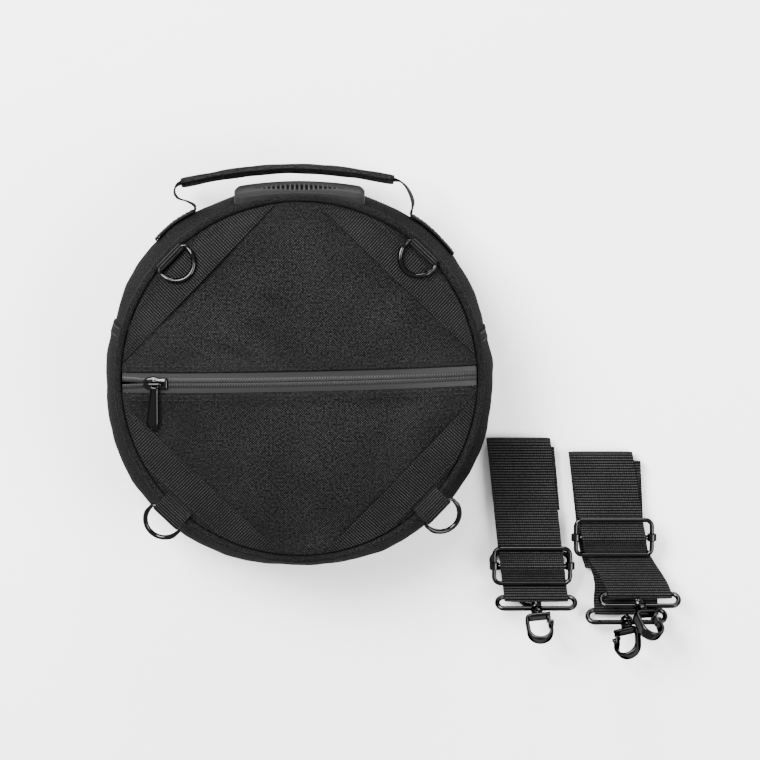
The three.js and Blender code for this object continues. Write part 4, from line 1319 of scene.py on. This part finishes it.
def lean_side(amount):
    """Direction of the handle's width, leaning forward by a share of its full lean."""
    lean = HANDLE_LEAN * np.asarray(amount, dtype=float)
    return np.stack([np.zeros_like(lean), np.sin(lean), np.cos(lean)], axis=-1)


class CHESTBAG_OT_handle(bpy.types.Operator):
    """Builds the padded handle and the webbing that it hangs on"""

    bl_idname = "chestbag.handle"
    bl_label = "Handle"

    def execute(self, context):
        self.sleeve()
        self.ends()
        return {"FINISHED"}

    def sleeve(self):
        """A padded sleeve, plump along its middle, with a seam at each edge."""
        path = [(-91.3, 146.8, HANDLE_Z), (-50, 154.4, HANDLE_Z), (-8, 158, HANDLE_Z),
                (32, 155.8, HANDLE_Z), (72.8, 149.4, HANDLE_Z)]
        path = resample(spline(path, 60), 0.8)
        at = run_length(path)
        across = eased(29)
        half_width, half_thick = 13.4, 3.15
        wide = half_width - 0.5 * np.sin(at / 9.0) * np.sin(at / 31.0)
        plump = 1 - 0.42 * np.abs(across) ** 5
        thick = half_thick + 0.28 * np.sin(at / 6.1 + 0.7) * np.sin(at / 17.0)
        to_end = np.minimum(at, at[-1] - at)
        thick = thick * (0.86 + 0.14 * smoothstep(to_end, 0, 3))
        pinch = 1 - 0.28 * np.exp(-(((np.abs(across) - SLEEVE_SEAM) / 0.06) ** 2))
        crease = 0.22 * np.sin(at[:, None] / 2.7 + 3 * across[None, :])
        crease = crease * np.exp(-((across / 0.55) ** 2))[None, :]
        crease = crease * (0.4 + 0.6 * np.sin(at / 23.0) ** 2)[:, None]
        height = thick[:, None] * (plump * pinch)[None, :] + crease - 0.2
        width = wide[:, None] * across[None, :]
        upper = np.stack([width, np.maximum(height, 0.7)], axis=-1)
        lower = np.stack([width, -np.maximum(height - 0.1, 0.7)], axis=-1)
        side = lean_side(np.ones(len(path)))
        shell = sweep(path, side, np.concatenate([upper, lower[:, ::-1]], axis=1))
        piece = make_piece("handle_grip_sleeve", [shell], sleeve_light_material(), "handle_grip",
                           ("handle_grip",), sharp=50)
        up = unit(np.cross(np.gradient(path, axis=0), side))
        shells = []
        for edge in (-SLEEVE_SEAM, SLEEVE_SEAM):
            line = path + side * wide[:, None] * edge + up * 1.45
            shells += stitches(line[6:-6], up[6:-6], 3.2, 1.6, 0.32)
        make_piece("handle_grip_stitches", shells, thread_finish(), "handle_grip")

    def ends(self):
        """Webbing sewn flat on the side wall, rising into each end of the sleeve."""
        seat = float(wall_radius(np.array(HANDLE_Z), UPPER_BULGE)) + GAP + WEBBING / 2
        runs = {
            "handle_webbing_left": (137.0, 122.6, 0.045, [
                (-79.6, 127.3), (-85.3, 130.9), (-93, 134.4), (-96.3, 139.4), (-95.2, 144.4), (-91.8, 146.7),
                (-87.0, 147.7)]),
            "handle_webbing_right": (38.0, 55.0, -0.1, [
                (85.2, 124), (86.6, 130.6), (85, 138.4), (81.4, 144.8), (77.4, 148.2), (73.2, 149.3),
                (69.0, 150.2)]),
        }
        for node, (start, end, twist, loose) in runs.items():
            sewn = arc(0, 0, seat, start, end, 12)
            free = spline(np.concatenate([sewn[-1:], np.array(loose, dtype=float)]), 12)
            sewn = resample(sewn, HANDLE_STEP)
            free = resample(free, HANDLE_STEP)[1:]
            path = at_height(np.concatenate([sewn, free]), HANDLE_Z)
            along = np.arange(len(path))
            side = lean_side(smoothstep(along, len(sewn), len(path) - 1))
            middle = smoothstep(along, len(sewn), len(sewn) + 40)
            middle = middle * (1 - smoothstep(along, len(path) - 40, len(path)))
            across = unit(np.cross(np.gradient(path, axis=0), side))
            side = unit(side + across * (twist * middle)[:, None])
            strip = webbing(path, side, BAND_WIDTH, WEBBING, settings().band_rib / MM, 0.2)
            make_piece(node + "_strip", [swell(strip)], handle_finish(), node, (node,))
            self.sew(node, path[:len(sewn)])

    def sew(self, node, path):
        """The box of stitches that holds an end on the wall."""
        half_box = 9.5
        thread = (2.6, 1.0, 0.34)
        out = unit(path * [1, 1, 0])
        lifted = path + out * (WEBBING / 2 - 0.1)
        shells = []
        for height in (-half_box, half_box):
            shells += stitches(lifted[8:] + [0, 0, height], out[8:], *thread)
        z = np.linspace(-half_box, half_box, 30)
        for k in (10, len(path) // 2, len(path) - 8):
            row = lifted[k] + np.stack([0 * z, 0 * z, z], axis=1)
            shells += stitches(row, repeated(out[k], row), *thread)
        make_piece(node + "_stitches", [swell(s) for s in shells], thread_finish(), node)


# Straps

def level(n):
    """Height of the middle of a layer of folded webbing, counted from the floor."""
    return 0.1 + WEBBING / 2 + n * STRAP_PITCH


SLIDE_Z = level(6) + SLIDE_WIRE_R + 2 * GAP + WEBBING / 2
BAR_WRAP = SLIDE_WIRE_R + GAP + WEBBING / 2
EYE_WRAP = EYE_WIRE_R + GAP + WEBBING / 2


def strap_route(strap, ends):
    """Places of the webbing in Y and Z: the upper run from the slide, and the layers under it."""
    a_y, a_z = ends["a"][:2]
    b_y, b_z = ends["b"][:2]
    slide, top, foot = strap["slide"], strap["top"], strap["foot"]
    inner = top - STRAP_PITCH * 1.5
    tight = STRAP_PITCH / 2
    hump = np.linspace(-12, 12, 25)
    rise = (SLIDE_Z + BAR_WRAP + WEBBING + 2 * GAP - level(6)) * np.exp(-((hump / 6.3) ** 2))
    first = [
        arc(slide, SLIDE_Z, BAR_WRAP, 150, -90, 24), [(slide - 8, level(5))],
        [(a_y + 5, a_z - EYE_WRAP + 0.4)], arc(a_y, a_z, EYE_WRAP, -90, -270, 18),
        [(slide - SLIDE_HALF_Y - 1, level(6))], np.stack([slide + hump, level(6) + rise], axis=1),
        [(slide + SLIDE_HALF_Y + 1, level(6)), (slide + 2 * SLIDE_HALF_Y, level(5)), (top - 2, level(5))],
        arc(top, level(2.5), level(2.5) - level(0), 90, -90, 24),
    ]
    last = [
        [(foot + 2, level(0))], arc(foot, level(0.5), tight, -90, -270, 10), [(inner - 2, level(1))],
        arc(inner, level(1.5), tight, -90, 90, 10), [(foot + 2, level(2))],
        arc(foot, level(2.5), tight, -90, -270, 10), [(inner - 2, level(3))],
        arc(inner, level(3.5), tight, -90, 90, 10), [(foot + 22.5, level(4))],
        [(foot, level(4) - 0.2), (b_y + 5, b_z + EYE_WRAP)], arc(b_y, b_z, EYE_WRAP, 90, 270, 18),
        [(foot - 4, b_z - EYE_WRAP)],
    ]
    first = np.concatenate([np.asarray(p, dtype=float) for p in first])
    last = np.concatenate([np.asarray(p, dtype=float) for p in last])
    return first, last


def drift(strap, ends, y):
    """How far the webbing has drifted sideways at y."""
    start = strap["skew_from"]
    skew = strap["skew"] * smoothstep(start - y, 0, start - ends["a"][0])
    return strap["slant"] * (strap["top"] - y) + skew


def drift_lower(strap, ends, y):
    """How far the lower layers lie apart from the upper ones at y."""
    start = strap["skew_from"]
    return -strap["apart"] * smoothstep(start - y, 0, start - ends["b"][0])


class CHESTBAG_OT_straps(bpy.types.Operator):
    """Builds the folded webbing of both straps and their adjusters"""

    bl_idname = "chestbag.straps"
    bl_label = "Strap Webbing"

    def execute(self, context):
        for side in STRAPS:
            self.strip(side)
            self.adjuster(side)
        return {"FINISHED"}

    def strip(self, side):
        """One length of ribbed webbing through every fold of its bundle."""
        strap, ends = STRAPS[side], ENDS[side]
        first, last = strap_route(strap, ends)
        flat = resample(np.concatenate([first, last]), STRAP_STEP)
        joined = run_length(np.concatenate([first, last[:1]]))[-2]
        lower = run_length(flat) > joined
        y = flat[:, 0]
        x = strap["x"] + drift(strap, ends, y) + np.where(lower, drift_lower(strap, ends, y), 0)
        x = x + self.untidy(strap, y, lower)
        path = np.stack([x, y, flat[:, 1]], axis=1)
        across = repeated((1.0, 0.0, 0.0), path)
        rib = settings().strap_rib / MM
        strip = webbing(path, across, STRAP_WIDTH, WEBBING - 0.1, rib, STRAP_RIB_DEPTH, columns=13)
        node = f"strap_{side}_webbing"
        make_piece(node + "_strip", [strip], strap_finish(), node, (node,))

    def untidy(self, strap, y, lower):
        """How far each hidden layer lies out of line: a little more at every fold."""
        run = np.arange(len(y))
        start = run[lower][0]
        step = np.sign(np.diff(y[lower]))
        folds = start + 1 + np.flatnonzero(step[1:] * step[:-1] < 0)
        out, back = strap["untidy"]
        keys = np.concatenate([[start], folds[:4], [folds[3] + 55]])
        return np.interp(run, keys, [0, back, out, back, out, 0])

    def adjuster(self, side):
        """The wire frame of the slide and the bar with rolled ends that the strap hangs on."""
        strap, ends = STRAPS[side], ENDS[side]
        x = strap["x"] + float(drift(strap, ends, np.array(strap["slide"], dtype=float)))
        place = Matrix.Translation((x, strap["slide"], SLIDE_Z))
        loop = rounded_loop(SLIDE_HALF_X, -SLIDE_HALF_Y, SLIDE_HALF_Y, 5.0)
        radius = SLIDE_WIRE_R - 0.02
        shell = wire(loop, radius, UP, closed=True, sides=18)
        metal_piece(f"strap_{side}_slide_frame", [moved(shell, place)])
        bar = [(0.3, -29.2), (1.3, -29.0), (radius, -28.0), (radius, 28.0), (1.3, 29.0), (0.3, 29.2)]
        shells = [moved(lathe(bar, 20), Matrix.Rotation(math.pi / 2, 4, "Z"))]
        for end in (-SLIDE_HALF_X, SLIDE_HALF_X):
            shells.append(moved(self.roll(), Matrix.Translation((end, 0, 0))))
        metal_piece(f"strap_{side}_slide_bar", [moved(shell, place) for shell in shells])

    def roll(self):
        """A short sleeve rolled round the frame wire, open at both ends."""
        bore, outer, half = SLIDE_WIRE_R + 0.12, 3.7, 3.0
        return bored([
            (bore, -half + 0.3), (bore + 0.4, -half), (outer - 0.6, -half), (outer, -half + 0.6),
            (outer, half - 0.6), (outer - 0.6, half), (bore + 0.4, half), (bore, half - 0.3)], 28)


def rounded_loop(half_x, low, high, corner):
    """A closed loop in the X-Y plane with round corners."""
    loop = np.concatenate([
        arc(half_x - corner, low + corner, corner, -90, 0, 8),
        arc(half_x - corner, high - corner, corner, 0, 90, 8),
        arc(corner - half_x, high - corner, corner, 90, 180, 8),
        arc(corner - half_x, low + corner, corner, 180, 270, 8)])
    return at_height(resample_loop(loop, 1.2))


class CHESTBAG_OT_hooks(bpy.types.Operator):
    """Builds the swivel eyes, snap hooks and gates at the strap ends"""

    bl_idname = "chestbag.hooks"
    bl_label = "Swivel Hooks"

    def execute(self, context):
        for side in STRAPS:
            for letter in ENDS[side]:
                self.strap_end(side, letter)
        return {"FINISHED"}

    def strap_end(self, side, letter):
        """An eye in its loop of webbing, and the hook that swivels in it."""
        strap, ends = STRAPS[side], ENDS[side]
        y, z, tilt, lean, roll = ends[letter]
        x = strap["x"] + float(drift(strap, ends, np.array(y, dtype=float)))
        if letter == "b":
            x += float(drift_lower(strap, ends, np.array(y, dtype=float)))
        seat = Matrix.Translation((x, y, z)) @ Matrix.Rotation(math.radians(tilt), 4, "X")
        leaning = seat @ Matrix.Translation((0, -EYE_REACH, 0)) @ Matrix.Rotation(math.radians(lean), 4, "Z")
        upright = Matrix.Translation((0, EYE_REACH, 0))
        swivel = leaning @ Matrix.Rotation(math.radians(roll), 4, "Y") @ upright
        for kind, shells, place in (
                ("eye", self.eye_wire(), seat), ("hook", self.hook(), swivel), ("gate", self.gate(), swivel)):
            shells = [moved(s, place) for s in shells]
            if kind == "eye":
                shells += [moved(s, leaning @ upright) for s in self.boss()]
            metal_piece(f"strap_{side}_{kind}_{letter}", shells)

    def eye_wire(self):
        loop = rounded_loop(EYE_HALF, -EYE_REACH, 0, EYE_CORNER)
        return [wire(loop, EYE_WIRE_R - 0.02, UP, closed=True, sides=18)]

    def boss(self):
        """The barrel on the eye's outer bar, bored for the shank of the hook."""
        bore = 2.2
        return [bored([
            (bore, -14.9), (bore + 0.4, -15.2), (3.9, -15.2), (4.5, -14.6), (4.5, -11.6), (4.2, -11.2),
            (4.5, -10.8), (4.5, -7.6), (3.9, -7.0), (bore + 0.4, -7.0), (bore, -7.3), (bore, -11.0)], 36)]

    def hook(self):
        """A bent band with round edges, a turned collar and the riveted shank."""
        bend = np.concatenate([
            [(9.8, -19.0), (0.0, -19.0)], arc(-6, -22, 3, 90, 180, 10), [(-9, -27.0)],
            arc(0, -32.5, 9, 180, 360, 36), [(9, -29.5)]])
        path = at_height(relax(resample(bend, 0.5), 4))
        at = run_length(path)
        to_tip = at[-1] - at
        half_width, tip_narrower = 4.45, 0.9
        half = half_width - tip_narrower * (1 - smoothstep(to_tip, 0, 6)) - 0.3 * (1 - smoothstep(at, 0, 3))
        profile = np.stack([squircle(h, 1.5, 3.6, 28) for h in half])
        band = sweep(path, repeated(UP, path), profile)
        turned = lathe([
            (0.3, -18.4), (3.6, -18.3), (4.4, -17.8), (4.5, -17.2), (4.2, -16.7), (4.5, -16.2), (4.3, -15.6),
            (3.6, -15.5), (2.0, -15.45), (2.0, -6.75), (3.3, -6.7), (3.4, -6.3), (2.6, -5.6), (1.2, -5.4),
            (0.1, -5.38)], 36)
        return [band, turned]

    def gate(self):
        """The sprung gate: a knuckle, a flat bar and a thumb piece with ridges."""
        x, y = 8.1, -22.4
        knuckle = lathe([(0.2, -3.5), (1.3, -3.5), (1.6, -3.2), (1.6, 3.2), (1.3, 3.5), (0.2, 3.5)], 24)
        knuckle = moved(knuckle, Matrix.Translation((x, y, 0)) @ Matrix.Rotation(math.pi / 2, 4, "X"))
        line = np.stack([np.full(24, x), np.linspace(y, -29.2, 24), np.zeros(24)], axis=1)
        bar = sweep(line, repeated(UP, line), squircle(3.45, 1.1, 4, 24))
        reach = 3.4
        out = np.linspace(0, reach, 14)
        line = np.stack([x + out, np.full(14, y - 3.75), np.zeros(14)], axis=1)
        thick = 1.7 - 0.5 * (out / reach) ** 2 + 0.1 * np.cos(out * 4.2)
        profile = np.stack([squircle(3.4, t, 4, 24) for t in thick])
        thumb = sweep(line, repeated(UP, line), profile)
        return [knuckle, bar, thumb]


# Stage

class CHESTBAG_OT_stage(bpy.types.Operator):
    """Sets the floor, the soft studio light and the camera"""

    bl_idname = "chestbag.stage"
    bl_label = "Studio"

    AIM = Vector((0.06163, -0.00057, 0.090))
    SIDE = -0.8
    TILT = 7.0
    DISTANCE = 4.44
    ROLL = 0.1
    LENS = 274.6
    LIT = Vector((0.06, 0.0, 0.05))

    def execute(self, context):
        self.floor()
        self.world(context)
        self.lights()
        self.camera(context)
        return {"FINISHED"}

    def floor(self):
        mesh = bpy.data.meshes.new("studio_floor")
        far = 6.0
        below = -0.0004
        corners = [(-far, -far, below), (far, -far, below), (far, far, below), (-far, far, below)]
        mesh.from_pydata(corners, [], [(0, 1, 2, 3)])
        floor = add_object("studio_floor", mesh)
        paper = bpy.data.materials.new("studio_paper")
        paper.use_nodes = True
        sheet = NodeSheet(paper.node_tree)
        surface = paper.node_tree.nodes["Principled BSDF"].inputs
        fibre = sheet.add("ShaderNodeTexNoise", {"Scale": 40.0, "Detail": 3.0})
        tone = settings().floor_colour
        shade = sheet.mix(fibre.outputs["Fac"], colour(tone, 0.985), colour(tone, 1.0))
        sheet.link(shade, surface["Base Color"])
        surface["Roughness"].default_value = 0.9
        surface["Specular IOR Level"].default_value = 0.1
        mesh.materials.append(paper)

    def world(self, context):
        world = bpy.data.worlds.new("studio_world")
        world.use_nodes = True
        sky = world.node_tree.nodes["Background"].inputs
        sky["Color"].default_value = (1.0, 1.0, 1.0, 1.0)
        sky["Strength"].default_value = 0.9
        context.scene.world = world

    def lights(self):
        """A wide soft key from the top left, a fill from the right and a strip at the back."""
        for name, place, size, power in (
                ("key", (-0.9, 0.9, 1.8), 1.1, 185.0), ("fill", (1.4, -0.4, 1.6), 1.2, 68.0),
                ("back", (0.2, 1.9, 0.8), 0.8, 40.0)):
            lamp = bpy.data.lights.new("studio_" + name, "AREA")
            lamp.size = size
            lamp.energy = power
            light = add_object("studio_" + name, lamp)
            light.location = place
            aim = self.LIT - Vector(place)
            light.rotation_euler = aim.to_track_quat("-Z", "Y").to_euler()

    def camera(self, context):
        lens = bpy.data.cameras.new("photo_camera")
        lens.lens = self.LENS
        lens.sensor_width = 36.0
        lens.clip_end = 50.0
        camera = add_object("photo_camera", lens)
        away = Vector((math.tan(math.radians(self.SIDE)), math.tan(math.radians(self.TILT)), 1.0))
        away.normalize()
        right = Vector((0, 1, 0)).cross(away).normalized()
        up = away.cross(right)
        basis = Matrix((right, up, away)).transposed().to_4x4()
        turn = Matrix.Rotation(math.radians(self.ROLL), 4, "Z")
        camera.matrix_world = Matrix.Translation(self.AIM + away * self.DISTANCE) @ basis @ turn
        context.scene.camera = camera


class CHESTBAG_PT_panel(bpy.types.Panel):
    """Lists the settings and the building steps"""

    bl_label = "Chest Bag"
    bl_idname = "CHESTBAG_PT_panel"
    bl_space_type = "VIEW_3D"
    bl_region_type = "UI"
    bl_category = "Chest Bag"

    def draw(self, context):
        layout = self.layout
        values = context.scene.chest_bag
        for key in ChestBagSettings.__annotations__:
            layout.prop(values, key)
        for operator in OPERATORS:
            layout.operator(operator.bl_idname)


OPERATORS = (
    CHESTBAG_OT_stage,
    CHESTBAG_OT_side_walls,
    CHESTBAG_OT_rims,
    CHESTBAG_OT_front,
    CHESTBAG_OT_bands,
    CHESTBAG_OT_zips,
    CHESTBAG_OT_slider,
    CHESTBAG_OT_rings,
    CHESTBAG_OT_grip,
    CHESTBAG_OT_handle,
    CHESTBAG_OT_straps,
    CHESTBAG_OT_hooks,
)


def register():
    bpy.utils.register_class(ChestBagSettings)
    bpy.types.Scene.chest_bag = PointerProperty(type=ChestBagSettings)
    for operator in OPERATORS:
        bpy.utils.register_class(operator)
    bpy.utils.register_class(CHESTBAG_PT_panel)


def unregister():
    bpy.utils.unregister_class(CHESTBAG_PT_panel)
    for operator in reversed(OPERATORS):
        bpy.utils.unregister_class(operator)
    del bpy.types.Scene.chest_bag
    bpy.utils.unregister_class(ChestBagSettings)


def main():
    register()
    bpy.ops.chestbag.stage()
    bpy.ops.chestbag.side_walls()
    bpy.ops.chestbag.rims()
    bpy.ops.chestbag.front()
    bpy.ops.chestbag.bands()
    bpy.ops.chestbag.zips()
    bpy.ops.chestbag.slider()
    bpy.ops.chestbag.rings()
    bpy.ops.chestbag.grip()
    bpy.ops.chestbag.handle()
    bpy.ops.chestbag.straps()
    bpy.ops.chestbag.hooks()


if __name__ == "__main__":
    main()
